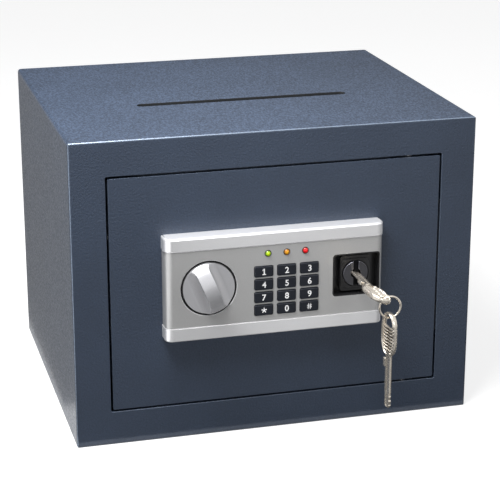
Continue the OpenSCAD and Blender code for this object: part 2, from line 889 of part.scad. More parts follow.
module reset_button() {
    inner = liner_y - liner_t;
    color([0.75, 0.1, 0.1]) at_front() {
        rod_along_y(reset_r, inner - 1, liner_y + 2.5, reset_x, reset_z);
        rod_along_y(reset_r + 2, inner - lay - 1.5, inner - lay, reset_x, reset_z);
    }
}

// Knob and what it turns

// A disc with an arched grip standing across it, drawn with the grip upright. The crest
// runs from edge to edge, and each side ends in a hollow that dips just below the rim.
module knob_shape() {
    rim_y = face_y - 0.6;
    top_y = rim_y - grip_h;
    arch_half = knob_r + 0.4;
    arch_r = (arch_half * arch_half + grip_h * grip_h) / (2 * grip_h);
    far = knob_r + 3;
    hollow = grip_foot - 0.15;
    difference() {
        intersection() {
            rod_along_y(knob_r, top_y - 1, -3, 0, 0);
            rod_along_x(arch_r, -far, far, top_y + arch_r, 0);
        }
        for (s = [-1, 1]) {
            u = s * (grip_w / 2 + hollow);
            translate([u, rim_y - hollow, -far]) cylinder(h = 2 * far, r = grip_foot);
            slab([min(u, s * far), top_y - 2, -far], [max(u, s * far), rim_y, far]);
            slab([min(s * grip_w / 2, s * far), top_y - 2, -far],
                [max(s * grip_w / 2, s * far), rim_y - hollow, far]);
        }
        rod_along_y(spindle_r, -10, -2, 0, 0);
    }
}

module knob() {
    color([0.75, 0.75, 0.77]) at_front()
        translate([knob_x, 0, knob_z]) rotate([0, -grip_lean, 0]) knob_shape();
}

module knob_spindle() {
    color([0.7, 0.7, 0.72]) at_front()
        rod_along_y(spindle_r, -10, crank_y + crank_t, knob_x, knob_z);
}

// Crank on the spindle: its pin is crank_swing right of upright when the bolts are drawn
module crank() {
    px = knob_x + crank_r * sin(crank_swing);
    pz = knob_z + crank_r * cos(crank_swing);
    color([0.6, 0.62, 0.65]) at_front() {
        difference() {
            plate_y(crank_y, crank_y + crank_t) union() {
                translate([knob_x, knob_z]) circle(spindle_r + 3);
                translate([px, pz]) circle(crank_pin_r + 2);
                translate([knob_x, knob_z]) rotate(90 - crank_swing) translate([0, -crank_pin_r - 2])
                    square([crank_r, 2 * crank_pin_r + 4]);
            }
            rod_along_y(spindle_r, crank_y - 1, crank_y + crank_t + 1, knob_x, knob_z);
        }
        rod_along_y(crank_pin_r, crank_y + crank_t, carriage_y + carriage_t + 2, px, pz);
    }
}

// Round-ended slots, level and upright
module slot_x(x0, x1, z, r) {
    for (x = [x0, x1]) translate([x, z]) circle(r);
    translate([x0, z - r]) square([x1 - x0, 2 * r]);
}

module slot_z(x, z0, z1, r) {
    for (z = [z0, z1]) translate([x, z]) circle(r);
    translate([x - r, z0]) square([2 * r, z1 - z0]);
}

module bolt_carriage() {
    px = knob_x + crank_r * sin(crank_swing);
    pin_low = knob_z + crank_r * cos(crank_swing);
    pin_high = knob_z + crank_r;
    half = crank_pin_r + link_gap;
    color([0.62, 0.64, 0.67]) at_front() {
        plate_y(carriage_y, carriage_y + carriage_t) difference() {
            translate([flange_x, mid_z - carriage_half_h])
                square([carriage_right - flange_x, 2 * carriage_half_h]);
            // upright slot for the crank pin
            slot_z(px, pin_low - air, pin_high + air, half);
            // slots for the guide posts
            for (z = [-1, 1])
                slot_x(post_x, post_x + throw, mid_z + z * post_z, post_r + air);
            // notches for the plunger, with the bolts drawn and thrown
            for (x = [plunger_x, plunger_x + throw])
                translate([x - plunger_r - air, mid_z - carriage_half_h - 1])
                    square([2 * (plunger_r + air), plunger_travel + 2]);
        }
        difference() {
            slab([flange_x, carriage_y + carriage_t, mid_z - carriage_half_h],
                [flange_x + carriage_t, bolt_y + bolt_r + 1, mid_z + carriage_half_h]);
            for (z = [-1, 1])
                rod_along_x(spigot_r, flange_x - 1, flange_x + carriage_t + 1,
                    bolt_y, mid_z + z * bolt_z);
        }
    }
}

module live_bolts() {
    color([0.82, 0.82, 0.84]) at_front() for (z = [-1, 1]) {
        rod_along_x(bolt_r, bolt_tip, flange_x, bolt_y, mid_z + z * bolt_z);
        rod_along_x(spigot_r, flange_x, flange_x + carriage_t, bolt_y, mid_z + z * bolt_z);
        rod_along_x(spigot_r + 1.5, flange_x + carriage_t, flange_x + carriage_t + 2,
            bolt_y, mid_z + z * bolt_z);
    }
}

// Emergency lock: plug, cam and release rod

// Draws its children turned about the plug's axis by the rest angle
module turned_with_plug() {
    translate([lock_x, 0, lock_z]) rotate([0, key_tilt, 0]) children();
}

module lock_plug() {
    slot_half_w = blade_w / 2 + air;
    slot_half_t = blade_t / 2 + air;
    color([0.2, 0.2, 0.21]) at_front() turned_with_plug() difference() {
        rod_along_y(plug_r, plug_face, plug_back, 0, 0);
        slab([-slot_half_w, plug_face - 1, -slot_half_t],
            [slot_half_w, plug_face + key_in + 4, slot_half_t]);
    }
}

module lock_cam() {
    px = lock_x + cam_r * sin(cam_swing);
    pz = lock_z + cam_r * cos(cam_swing);
    color([0.65, 0.65, 0.67]) at_front() {
        plate_y(plug_back, plug_back + cam_t) union() {
            translate([lock_x, lock_z]) circle(plug_r + 1);
            translate([px, pz]) circle(cam_pin_r + 2);
            translate([lock_x, lock_z]) rotate(90 - cam_swing) translate([0, -cam_pin_r - 2])
                square([cam_r, 2 * cam_pin_r + 4]);
        }
        rod_along_y(cam_pin_r, plug_back + cam_t, rod_y + rod_t + 1, px, pz);
    }
}

// Bar from the lock to the plunger: a slotted head at the cam, two guide slots, and
// a ramp that holds the plunger's cross pin down
module release_rod() {
    px = lock_x + cam_r * sin(cam_swing);
    pin_low = lock_z + cam_r * cos(cam_swing);
    pin_high = lock_z + cam_r;
    half = cam_pin_r + link_gap;
    top = pin_high + half + 4;
    slope = plunger_travel / rod_throw;
    touch = cross_pin_z + (cross_pin_r + lay) * sqrt(1 + slope * slope);
    left = plunger_x - 5;
    right = plunger_x + rod_throw + 5;
    color([0.7, 0.72, 0.74]) at_front() plate_y(rod_y, rod_y + rod_t) difference() {
        union() {
            translate([left, rod_z]) square([px + half + 4 - left, rod_h]);
            translate([px - half - 4, rod_z]) square([2 * half + 8, top - rod_z]);
            polygon([[left, rod_z], [left, touch - 5 * slope],
                [right, touch + (rod_throw + 5) * slope], [right, rod_z]]);
        }
        slot_z(px, pin_low - air, pin_high + air, half);
        for (x = rod_post_x)
            slot_x(x, x + rod_throw, rod_z + rod_h / 2, post_r + air);
    }
}

// Keys

// One key lying flat: blade towards +Y, middle of the bow at the origin
module key_shape() {
    r = bow_end_r;
    shoulder = bow_l / 2 - 1;
    tip = bow_l / 2 + blade_l;
    bit = 1.2;
    translate([0, 0, -bow_t / 2]) linear_extrude(bow_t) difference() {
        round_rect(bow_w, bow_l, r);
        round_rect(bow_w - 2 * rim_w, bow_l - 2 * rim_w, r - rim_w);
    }
    // open work: round bars across, clear of the end that the ring goes through
    for (v = [bar_start : bar_pitch : bow_l / 2 - rim_w])
        rod_along_x(bar_r, -bar_half(v), bar_half(v), v, 0);
    translate([0, 0, -blade_t / 2]) linear_extrude(blade_t) difference() {
        translate([-blade_w / 2, shoulder]) square([blade_w, tip - shoulder]);
        for (s = [-1, 1], i = [0 : 2])
            translate([s * blade_w / 2 - bit / 2, tip - 3 - 4 * i]) square([bit, 2]);
    }
    // shoulder lug
    translate([-blade_w / 2 - 2, bow_l / 2 + 3, -blade_t / 2]) cube([2, 7, blade_t]);
}

module key_in_lock() {
    color([0.72, 0.7, 0.66]) at_front()
        translate([lock_x, bow_y, lock_z]) rotate([0, key_tilt, 0]) key_shape();
}

module key_ring() {
    color([0.75, 0.73, 0.68]) at_front() translate([ring_x, hang_y, ring_z])
        rotate([90, 0, 0]) rotate_extrude($fn = 48) translate([ring_r, 0]) circle(wire_r, $fn = 24);
}

module spare_key() {
    color([0.72, 0.7, 0.66]) at_front()
        translate([ring_x, hang_y, spare_z]) rotate([0, 0, spare_twist]) rotate([-90, 0, 0])
            key_shape();
}

// Push buttons: a cap through the panel, with a wing each side behind it
module button(col, row) {
    x = keypad_x + (col - 1) * button_dx;
    z = keypad_z + (1.5 - row) * button_dz;
    color([0.17, 0.18, 0.2]) at_front() {
        plate_y(face_y - button_out, button_back)
            translate([x, z]) round_rect(button_w, button_h, 1.4);
        plate_y(wall_back + air, button_back) translate([x, z])
            round_rect(button_w + 2 * (air + button_flange), button_h, 1.4);
    }
}

cabinet_shell();
front_frame();
back_panel();
door_stops();
strike_plate();
hinge_brackets();
hinge_pins();
slot_baffle();
floor_mat();
door_plate();
hinge_lugs();
dog_bar();
door_liner();
liner_screws();
bolt_guide();
guide_posts();
knob_bush();
panel_housing();
panel_fascia();
panel_screws();
keypad_membrane();
circuit_board();
lamp_bezels();
lamp_green();
lamp_amber();
lamp_red();
knob_ring();
lock_escutcheon();
lock_body();
solenoid();
battery_box();
batteries();
battery_contacts();
battery_cover();
reset_button();
knob();
knob_spindle();
crank();
bolt_carriage();
live_bolts();
lock_plug();
lock_cam();
release_rod();
solenoid_plunger();
key_in_lock();
key_ring();
spare_key();
button(0, 0);  // button_1
button(1, 0);  // button_2
button(2, 0);  // button_3
button(0, 1);  // button_4
button(1, 1);  // button_5
button(2, 1);  // button_6
button(0, 2);  // button_7
button(1, 2);  // button_8
button(2, 2);  // button_9
button(0, 3);  // button_star
button(1, 3);  // button_0
button(2, 3);  // button_hash
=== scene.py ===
"""Looks of a small envelope safe: finishes, rounded edges, keypad figures and keys.

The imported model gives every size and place. Lengths are in metres.
"""

import json
import logging
import math
from dataclasses import dataclass, field
from enum import Enum
from typing import Callable, Optional, Sequence

import bmesh
import bpy
from mathutils import Matrix, Vector

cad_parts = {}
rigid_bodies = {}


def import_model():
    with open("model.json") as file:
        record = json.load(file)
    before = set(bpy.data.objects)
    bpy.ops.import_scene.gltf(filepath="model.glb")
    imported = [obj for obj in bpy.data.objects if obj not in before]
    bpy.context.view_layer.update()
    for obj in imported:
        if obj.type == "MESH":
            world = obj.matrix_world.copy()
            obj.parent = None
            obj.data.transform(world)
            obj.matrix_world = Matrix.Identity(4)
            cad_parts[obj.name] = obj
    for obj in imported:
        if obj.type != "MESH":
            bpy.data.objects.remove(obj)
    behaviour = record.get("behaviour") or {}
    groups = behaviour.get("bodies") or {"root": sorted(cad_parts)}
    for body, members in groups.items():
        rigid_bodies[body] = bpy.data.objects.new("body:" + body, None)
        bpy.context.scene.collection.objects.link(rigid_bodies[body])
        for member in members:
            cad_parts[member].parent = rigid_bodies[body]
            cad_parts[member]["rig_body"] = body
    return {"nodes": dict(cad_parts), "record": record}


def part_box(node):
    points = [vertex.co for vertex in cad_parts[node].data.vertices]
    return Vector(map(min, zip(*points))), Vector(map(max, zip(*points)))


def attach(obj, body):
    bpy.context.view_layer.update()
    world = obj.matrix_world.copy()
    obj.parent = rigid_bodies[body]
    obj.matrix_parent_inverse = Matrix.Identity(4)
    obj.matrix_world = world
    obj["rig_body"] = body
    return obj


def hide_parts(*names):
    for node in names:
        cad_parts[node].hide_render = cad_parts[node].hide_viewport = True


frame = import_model()

Pair = tuple[float, float]
Triple = tuple[float, float, float]
Colour = Triple
Rounding = dict[str, tuple[float, int]]
Mesh = bmesh.types.BMesh
Piece = bpy.types.Object
Socket = bpy.types.NodeSocket
EdgeTest = Callable[[Vector, Vector], bool]
FaceTest = Callable[[Vector, Vector], bool]

LOG = logging.getLogger("envelope_safe")
MM = 0.001
SKIM = 0.1 * MM  # how far past a plane a point still lies on it
HAIR = 0.01 * MM  # keeps two points apart
WELD = 2e-6
ON_PLANE = 1e-7
BROAD_FACE = 50 * MM * MM  # area from which a many-sided face is shaded flat
FLAT_ANGLE = math.radians(0.6)
SHARP_ANGLE = math.radians(32)
WHITE = (1.0, 1.0, 1.0)
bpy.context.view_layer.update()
SLOT_OF = {row["node"]: row["material_slot"] for row in frame["record"]["subparts"]}


def srgb(red: int, green: int, blue: int) -> Colour:
    """Turns a display colour, in parts from 0 to 255, into a linear one.

    Args:
        red: Its red part.
        green: Its green part.
        blue: Its blue part.

    Returns:
        The linear colour, each part from 0 to 1.
    """

    def linear(part: int) -> float:
        """Returns one part in linear light."""
        share = part / 255
        return share / 12.92 if share <= 0.04045 else ((share + 0.055) / 1.055) ** 2.4

    return linear(red), linear(green), linear(blue)


def shaded(colour: Colour, factor: float) -> Colour:
    """Returns a colour made lighter or darker by a factor."""
    return tuple(min(1.0, part * factor) for part in colour)


class NodeBoard:
    """A tree of shader nodes, with the few kinds that the finishes need."""

    def __init__(self, tree: bpy.types.NodeTree) -> None:
        """Empties the tree to draw in it."""
        self.tree = tree
        tree.nodes.clear()

    def add(self, kind: str, sockets: Optional[dict] = None, **settings: object) -> bpy.types.Node:
        """Adds a node.

        Args:
            kind: The node's type, without its prefix.
            sockets: Values or sources for the node's inputs, by name or number.
            settings: The node's own properties.

        Returns:
            The new node.
        """
        node = self.tree.nodes.new("ShaderNode" + kind)
        for key, value in settings.items():
            setattr(node, key, value)
        for key, value in (sockets or {}).items():
            self.feed(node.inputs[key], value)
        return node

    def feed(self, socket: Socket, value: object) -> None:
        """Links a source to a socket, or sets the socket's own value.

        Args:
            socket: The socket.
            value: The source or the value, where three numbers may be a colour.
        """
        if isinstance(value, Socket):
            self.tree.links.new(value, socket)
        elif isinstance(value, tuple) and len(value) == 3 and socket.type == "RGBA":
            socket.default_value = (*value, 1.0)
        else:
            socket.default_value = value

    def span(
        self, value: Socket, low: float, high: float, start: float = 0.3, end: float = 0.7
    ) -> Socket:
        """Stretches a value.

        Args:
            value: The value to stretch.
            low: The result at start and beyond.
            high: The result at end and beyond.
            start: The value that gives low.
            end: The value that gives high.

        Returns:
            The stretched value.
        """
        sockets = {
            "Value": value, "From Min": start, "From Max": end, "To Min": low, "To Max": high,
        }
        return self.add("MapRange", sockets).outputs["Result"]

    def direct_rays(self) -> Socket:
        """Returns a value that is 1 for seen, mirrored and refracted rays, 0 for lighting ones."""
        path = self.add("LightPath")
        total = path.outputs["Is Camera Ray"]
        for name in ("Is Glossy Ray", "Is Transmission Ray"):
            either = self.add("Math", {0: total, 1: path.outputs[name]}, operation="MAXIMUM")
            total = either.outputs[0]
        return total


class MaterialBoard(NodeBoard):
    """The nodes of one material."""

    def __init__(self, name: str) -> None:
        """Makes a material with one principled shader.

        Args:
            name: The new material's name.
        """
        self.material = bpy.data.materials.new(name)
        self.material.use_nodes = True
        super().__init__(self.material.node_tree)
        self.output = self.add("OutputMaterial")
        self.shader = self.add("BsdfPrincipled")
        self.feed(self.output.inputs["Surface"], self.shader.outputs[0])
        self.place = self.add("TexCoord").outputs["Object"]

    def set(self, **sockets: object) -> None:
        """Sets the principled shader's sockets, with underscores for spaces in their names."""
        for key, value in sockets.items():
            self.feed(self.shader.inputs[key.replace("_", " ")], value)

    def stretched(self, scale: Triple) -> Socket:
        """Returns the object's coordinates, multiplied by a factor along each axis."""
        return self.add("Mapping", {"Vector": self.place, "Scale": scale}).outputs["Vector"]

    def noise(
        self, size: float, detail: float = 2.0, rough: float = 0.5, where: Optional[Socket] = None
    ) -> Socket:
        """Adds a noise pattern.

        Args:
            size: Size of its grains.
            detail: How many finer layers it has.
            rough: Strength of the finer layers.
            where: Coordinates to use in place of the object's own.

        Returns:
            The pattern's value, about 0.5 on average.
        """
        sockets = {
            "Vector": where or self.place, "Scale": 1 / size, "Detail": detail, "Roughness": rough,
        }
        return self.add("TexNoise", sockets).outputs["Fac"]

    def cells(self, size: float, **settings: str) -> Socket:
        """Adds a cell pattern and returns the distance from its points."""
        sockets = {"Vector": self.place, "Scale": 1 / size}
        return self.add("TexVoronoi", sockets, **settings).outputs["Distance"]

    def ramp(self, value: Socket, stops: Sequence[tuple[float, Colour]]) -> Socket:
        """Turns a value into a colour.

        Args:
            value: The value, from 0 to 1.
            stops: Places and colours along the ramp.

        Returns:
            The colour.
        """
        node = self.add("ValToRGB", {0: value})
        elements = node.color_ramp.elements
        while len(elements) < len(stops):
            elements.new(0.5)
        for element, (at, colour) in zip(elements, stops):
            element.position = at
            element.color = (*colour, 1.0)
        return node.outputs["Color"]

    def tones(
        self, value: Socket, colour: Colour, dark: float, light: float, end: float = 0.7
    ) -> Socket:
        """Turns a value into tones of one colour.

        Args:
            value: The value, from 0 to 1.
            colour: The colour.
            dark: Factor of the darkest tone, up to a value of 0.3.
            light: Factor of the lightest tone.
            end: The value from which that is reached.

        Returns:
            The toned colour.
        """
        return self.ramp(value, [(0.3, shaded(colour, dark)), (end, shaded(colour, light))])

    def bump(self, height: Socket, depth: float, under: Optional[Socket] = None) -> Socket:
        """Turns a height into a relief.

        Args:
            height: The height, from 0 to 1.
            depth: The relief's depth.
            under: The normal of a relief below this one.

        Returns:
            The normal.
        """
        sockets = {"Height": height, "Distance": depth, "Strength": 1.0}
        if under is not None:
            sockets["Normal"] = under
        return self.add("Bump", sockets).outputs["Normal"]


@dataclass(frozen=True)
class Finish:
    """A surface finish.

    Attributes:
        name: The finish's name.
        colour: Its main colour, in linear light.
    """

    name: str
    colour: Colour

    def material(self) -> bpy.types.Material:
        """Makes the finish's material when it is first asked for.

        Returns:
            The material, whose name can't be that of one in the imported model.
        """
        found = bpy.data.materials.get("safe_" + self.name)
        if found is None:
            board = MaterialBoard("safe_" + self.name)
            self.wire(board)
            found = board.material
        return found

    def wire(self, board: MaterialBoard) -> None:
        """Draws the finish's nodes on the board."""
        raise NotImplementedError


@dataclass(frozen=True)
class PowderCoat(Finish):
    """Baked powder paint with a fine orange peel and specks, and painted glints that are strongest
    on level faces.

    Attributes:
        peel: Size of the peel's grains.
        relief: Depth of the peel.
        speck: Size of the specks.
        drawn: Factors on the coordinates, less than 1 where the grains are drawn out.
        roughness: Roughness of the paint between the grains.
    """

    peel: float = 1.8 * MM
    relief: float = 0.4 * MM
    # speck: Size of the specks, which also carry the painted glints.
    speck: float = 1.3 * MM
    drawn: Triple = (1.0, 0.45, 1.0)
    roughness: float = 0.37

    def wire(self, board: MaterialBoard) -> None:
        """Draws a peel, specks with painted glints and shade strongest on upward faces, and a
        little uneven colour.
        """
        drawn = board.stretched(self.drawn)
        peel = board.noise(self.peel, detail=3.0, rough=0.6, where=drawn)
        cloud = board.noise(60 * MM)
        speck = board.noise(self.speck, detail=1.0, where=drawn)
        tint = board.tones(cloud, self.colour, dark=0.94, light=1.07)
        # the lighter and darker specks are painted glints and painted shade on the grain, full on
        # upward faces and a quarter as strong on upright ones
        shaded_speck, glinting_speck = (0.62,) * 3, (1.45,) * 3
        light = board.ramp(speck, [(0.35, shaded_speck), (0.68, glinting_speck)])
        normal = board.add("TexCoord").outputs["Normal"]
        upward = board.add("SeparateXYZ", {0: normal}).outputs["Z"]
        share = board.span(upward, 0.25, 1.0, end=0.8)
        # inputs 6 and 7 and output 2 are a mix node's colours
        glint_specked = board.add(
            "Mix", {0: share, 6: tint, 7: light}, data_type="RGBA", blend_type="MULTIPLY"
        )
        board.set(
            Base_Color=glint_specked.outputs[2],
            Roughness=board.span(speck, self.roughness + 0.08, self.roughness - 0.08),
            Normal=board.bump(peel, self.relief),
            Specular_IOR_Level=0.45,
        )


@dataclass(frozen=True)
class BurnishedEdge(Finish):
    """A painted highlight: lighter, shinier paint on edges that face the light."""

    def wire(self, board: MaterialBoard) -> None:
        """Draws the painted highlight: bright specks with paint between, and a patchy share of
        metal.
        """
        speck = board.noise(1.1 * MM)
        painted_light = board.noise(18 * MM)
        board.set(
            Base_Color=board.tones(speck, self.colour, dark=0.8, light=1.25, end=0.65),
            Metallic=board.span(painted_light, 0.3, 0.5),
            Roughness=board.span(speck, 0.42, 0.3),
            Normal=board.bump(speck, 0.03 * MM),
        )


@dataclass(frozen=True)
class SatinPaint(Finish):
    """Smooth metallic paint or film with a fine grain.

    Attributes:
        metal: Share of the metal in it.
        roughness: Its roughness.
    """

    metal: float = 0.6
    roughness: float = 0.34

    def wire(self, board: MaterialBoard) -> None:
        """Draws the paint: an even tint with a fine grain in colour and gloss."""
        grain = board.noise(0.5 * MM)
        cloud = board.noise(25 * MM, detail=1.0)
        board.set(
            Base_Color=board.tones(grain, self.colour, dark=0.95, light=1.05),
            Metallic=self.metal,
            Roughness=board.span(cloud, self.roughness - 0.03, self.roughness + 0.03),
            Normal=board.bump(grain, 0.004 * MM),
        )


class Grain(Enum):
    """How a bare metal was worked, with the depth of the marks that this leaves."""

    POLISHED = 0.004 * MM
    BRUSHED = 0.008 * MM
    PLATED = 0.006 * MM
    CAST = 0.02 * MM


@dataclass(frozen=True)
class BareMetal(Finish):
    """Steel, brass or nickel without paint.

    Attributes:
        grain: How it was worked.
        roughness: Its roughness.
        metal: Share of bare metal, less where it is dulled.
    """

    grain: Grain = Grain.PLATED
    roughness: float = 0.3
    metal: float = 1.0

    def wire(self, board: MaterialBoard) -> None:
        """Draws the metal with the marks that its grain leaves."""
        if self.grain is Grain.BRUSHED:
            marks = board.noise(0.3 * MM, where=board.stretched((0.03, 1.0, 1.0)))
        elif self.grain is Grain.PLATED:
            marks = board.cells(3.5 * MM, feature="SMOOTH_F1")
        elif self.grain is Grain.CAST:
            marks = board.noise(1.2 * MM)
        else:
            marks = board.noise(2.0 * MM, detail=4.0)
        stain = board.noise(6 * MM, detail=3.0)
        gloss = (self.roughness - 0.06, self.roughness + 0.08)
        board.set(
            Base_Color=board.tones(stain, self.colour, dark=0.86, light=1.04, end=0.65),
            Metallic=self.metal,
            Roughness=board.span(marks, *gloss, start=0.2, end=0.8),
            Normal=board.bump(marks, self.grain.value),
        )


@dataclass(frozen=True)
class MouldedPlastic(Finish):
    """Moulded plastic or rubber with a fine spark grain.

    Attributes:
        roughness: Its roughness.
        coat: Weight of a clear coat on it.
        gloss: Strength of its own reflection, 0.5 for common plastic.
    """

    roughness: float = 0.3
    coat: float = 0.0
    gloss: float = 0.5

    def wire(self, board: MaterialBoard) -> None:
        """Draws the plastic: a spark grain, and smears that change its gloss a little."""
        grain = board.noise(0.35 * MM)
        smear = board.noise(12 * MM, detail=3.0)
        board.set(
            Base_Color=board.tones(smear, self.colour, dark=0.9, light=1.1),
            Roughness=board.span(smear, self.roughness - 0.04, self.roughness + 0.05),
            Normal=board.bump(grain, 0.006 * MM),
            Specular_IOR_Level=self.gloss,
            Coat_Weight=self.coat,
            Coat_Roughness=0.08,
        )


@dataclass(frozen=True)
class Lens(Finish):
    """A clear coloured lamp lens: its own colour, lighter in the middle as painted light and darker
    towards its rim as painted shade.

    Attributes:
        core: Its colour in the middle.
        middle: A point on the lens's axis.
        radius: The lens's radius.
    """

    core: Colour
    middle: Triple
    radius: float

    def wire(self, board: MaterialBoard) -> None:
        """Draws the lens, with its colour from the distance to the axis: a lighter middle as
        painted light and a dark rim as painted shade.
        """
        offset = board.add("VectorMath", {0: board.place, 1: self.middle}, operation="SUBTRACT")
        across = {0: offset.outputs[0], 1: (1.0, 0.0, 1.0)}
        flat = board.add("VectorMath", across, operation="MULTIPLY")
        reach = board.add("VectorMath", {0: flat.outputs[0]}, operation="LENGTH").outputs["Value"]
        share = board.span(reach, 0.0, 1.0, start=0.0, end=self.radius)
        # the lighter middle is painted light and the dark rim painted shade, over the lens's own
        # colour
        stops = [(0.25, self.core), (0.78, self.colour), (1.0, shaded(self.colour, 0.3))]
        board.set(
            Base_Color=board.ramp(share, stops),
            Roughness=0.12,
            Coat_Weight=0.35,
            Coat_Roughness=0.05,
            Normal=board.bump(board.noise(1.2 * MM), 0.003 * MM),
        )


@dataclass(frozen=True)
class Banded(Finish):
    """A wrapped or wound surface with bands along X.

    Attributes:
        other: The second colour.
        pitch: Length of one pair of bands.
        edge: Share of the pair that is the second colour.
    """

    other: Colour
    pitch: float
    edge: float = 0.5

    def wire(self, board: MaterialBoard) -> None:
        """Draws the bands from the object's own X."""
        across = board.add("SeparateXYZ", {0: board.place}).outputs["X"]
        turn = board.add("Math", {0: across, 1: 1 / self.pitch}, operation="MULTIPLY").outputs[0]
        part = board.add("Math", {0: turn}, operation="FRACT").outputs[0]
        grain = board.noise(0.6 * MM)
        first, blur = 1 - self.edge, 0.02
        stops = [
            (0.0, self.colour), (first - blur, self.colour), (first, self.other), (1.0, self.other),
        ]
        board.set(
            Base_Color=board.ramp(part, stops),
            Roughness=board.span(grain, 0.31, 0.41),
            Normal=board.bump(grain, 0.01 * MM),
        )


@dataclass(frozen=True)
class Felt(Finish):
    """Pressed felt with short loose fibres."""

    def wire(self, board: MaterialBoard) -> None:
        """Draws the fibres in two sizes."""
        fibres = board.noise(0.5 * MM, detail=4.0, rough=0.7)
        tufts = board.noise(4 * MM)
        board.set(
            Base_Color=board.tones(fibres, self.colour, dark=0.6, light=1.6),
            Roughness=0.95,
            Sheen_Weight=0.5,
            Sheen_Roughness=0.4,
            Normal=board.bump(fibres, 0.25 * MM, under=board.bump(tufts, 0.3 * MM)),
        )


@dataclass(frozen=True)
class CircuitBoard(Finish):
    """Green lacquer over copper tracks."""

    def wire(self, board: MaterialBoard) -> None:
        """Draws the tracks as the edges of square cells."""
        cells = board.cells(3 * MM, distance="CHEBYCHEV")
        track = shaded(self.colour, 2.2)
        stops = [(0.0, track), (0.12, track), (0.16, self.colour), (1.0, shaded(self.colour, 0.8))]
        board.set(
            Base_Color=board.ramp(cells, stops),
            Roughness=board.span(cells, 0.25, 0.4, start=0.1, end=0.2),
            Normal=board.bump(cells, 0.02 * MM),
        )


FINISHES: dict[str, Finish] = {
    # the slate paint carries painted glints, strongest on level faces
    "cabinet_paint": PowderCoat("slate_powder_coat_painted_glints", srgb(49, 59, 75)),
    "zinc_steel": BareMetal("zinc_plate", (0.52, 0.54, 0.56), Grain.PLATED, 0.34),
    "bright_steel": BareMetal("bright_steel", (0.66, 0.66, 0.67), Grain.BRUSHED, 0.2),
    "felt": Felt("grey_felt", (0.05, 0.05, 0.055)),
    "brass": BareMetal("turned_brass", (0.72, 0.52, 0.24), Grain.BRUSHED, 0.25),
    "panel_silver": SatinPaint("silver_paint", srgb(236, 236, 238), metal=0.6, roughness=0.24),
    "panel_grey": SatinPaint("grey_film", srgb(188, 188, 188), metal=0.6, roughness=0.33),
    "knob_silver": SatinPaint("silver_knob", srgb(170, 170, 173), metal=0.25, roughness=0.24),
    "black_plastic": MouldedPlastic("black_plastic", (0.012, 0.012, 0.013), roughness=0.22),
    "membrane_rubber": MouldedPlastic("membrane_rubber", (0.03, 0.03, 0.03), roughness=0.7),
    "board_green": CircuitBoard("circuit_lacquer", (0.02, 0.12, 0.04)),
    "coil_tape": Banded("coil_tape", (0.45, 0.3, 0.06), (0.3, 0.19, 0.04), 0.8 * MM),
    "cell_wrap": Banded("cell_wrap", (0.03, 0.03, 0.035), (0.55, 0.32, 0.1), 50 * MM, edge=0.3),
    "reset_red": MouldedPlastic("red_plastic", (0.5, 0.02, 0.02), coat=0.4),
    "lock_black": MouldedPlastic("black_zinc", (0.022, 0.022, 0.028), roughness=0.18, coat=0.8),
    "key_nickel": BareMetal("key_nickel", (0.70, 0.645, 0.57), Grain.CAST, 0.22, metal=0.85),
    "button_plastic": MouldedPlastic("button_plastic", srgb(31, 34, 41), roughness=0.22, gloss=0.2),
}
# a painted highlight for front edges that face the light
EDGE_HIGHLIGHT = BurnishedEdge("painted_edge_highlight", srgb(110, 121, 137))
# dark painted shade on the plate between a key's ribs
RIB_GAP_SHADE = BareMetal("painted_rib_gap_shade", (0.05, 0.036, 0.026), Grain.CAST, 0.45, metal=0.6)
# a painted highlight on the lock's lobes where they face up or left
LOBE_HIGHLIGHT = BareMetal("painted_lobe_highlight", (0.34, 0.34, 0.38), Grain.POLISHED, 0.3)
# the lighter slope round the knob: partly a cut edge, partly a painted highlight
CUT_EDGE_HIGHLIGHT = SatinPaint("cut_edge_highlight", srgb(240, 240, 242), metal=0.5, roughness=0.34)
# near-black painted shade for the lock's plug and the body round its lobes
PAINTED_DEPTH_SHADE = MouldedPlastic("painted_depth_shade", (0.004, 0.004, 0.005), roughness=0.55, gloss=0.1)
# near-black painted shade inside the roof's slot
SLOT_SHADE = MouldedPlastic("painted_slot_shade", srgb(9, 11, 14), roughness=0.6)
LEGEND = MouldedPlastic("legend_print", (0.86, 0.86, 0.86), roughness=0.5)
LAMP_RIM = MouldedPlastic("lamp_rim", srgb(52, 44, 34), roughness=0.3)


def finish_of(node: str) -> Finish:
    """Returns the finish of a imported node's material slot."""
    return FINISHES[SLOT_OF[node]]


def read_solid(node: str) -> Mesh:
    """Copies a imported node's mesh, welded, with its flat faces whole again.

    Args:
        node: The node's name.

    Returns:
        A new mesh, which the caller frees.
    """
    solid = bmesh.new()
    solid.from_mesh(frame["nodes"][node].data)
    bmesh.ops.remove_doubles(solid, verts=solid.verts, dist=WELD)
    bmesh.ops.dissolve_limit(
        solid, angle_limit=FLAT_ANGLE, verts=solid.verts, edges=solid.edges, delimit=set()
    )
    return solid


def round_edges(
    solid: Mesh, radius: float, steps: int = 2, chosen: Optional[EdgeTest] = None
) -> None:
    """Rounds the crisp edges of a mesh.

    Args:
        solid: The mesh to change.
        radius: Width of the rounding.
        steps: Faces across the rounding.
        chosen: Says, from an edge's two ends, whether to round it.
    """
    edges = [
        edge
        for edge in solid.edges
        if len(edge.link_faces) == 2
        and edge.calc_face_angle(0.0) > SHARP_ANGLE
        and (chosen is None or chosen(edge.verts[0].co, edge.verts[1].co))
    ]
    bmesh.ops.bevel(
        solid, geom=edges, offset=radius, offset_type="OFFSET", segments=steps, profile=0.5,
        affect="EDGES", clamp_overlap=True,
    )


def before(plane: float) -> EdgeTest:
    """Returns a test of whether both ends of an edge lie in front of a place on Y."""
    return lambda first, second: max(first.y, second.y) < plane


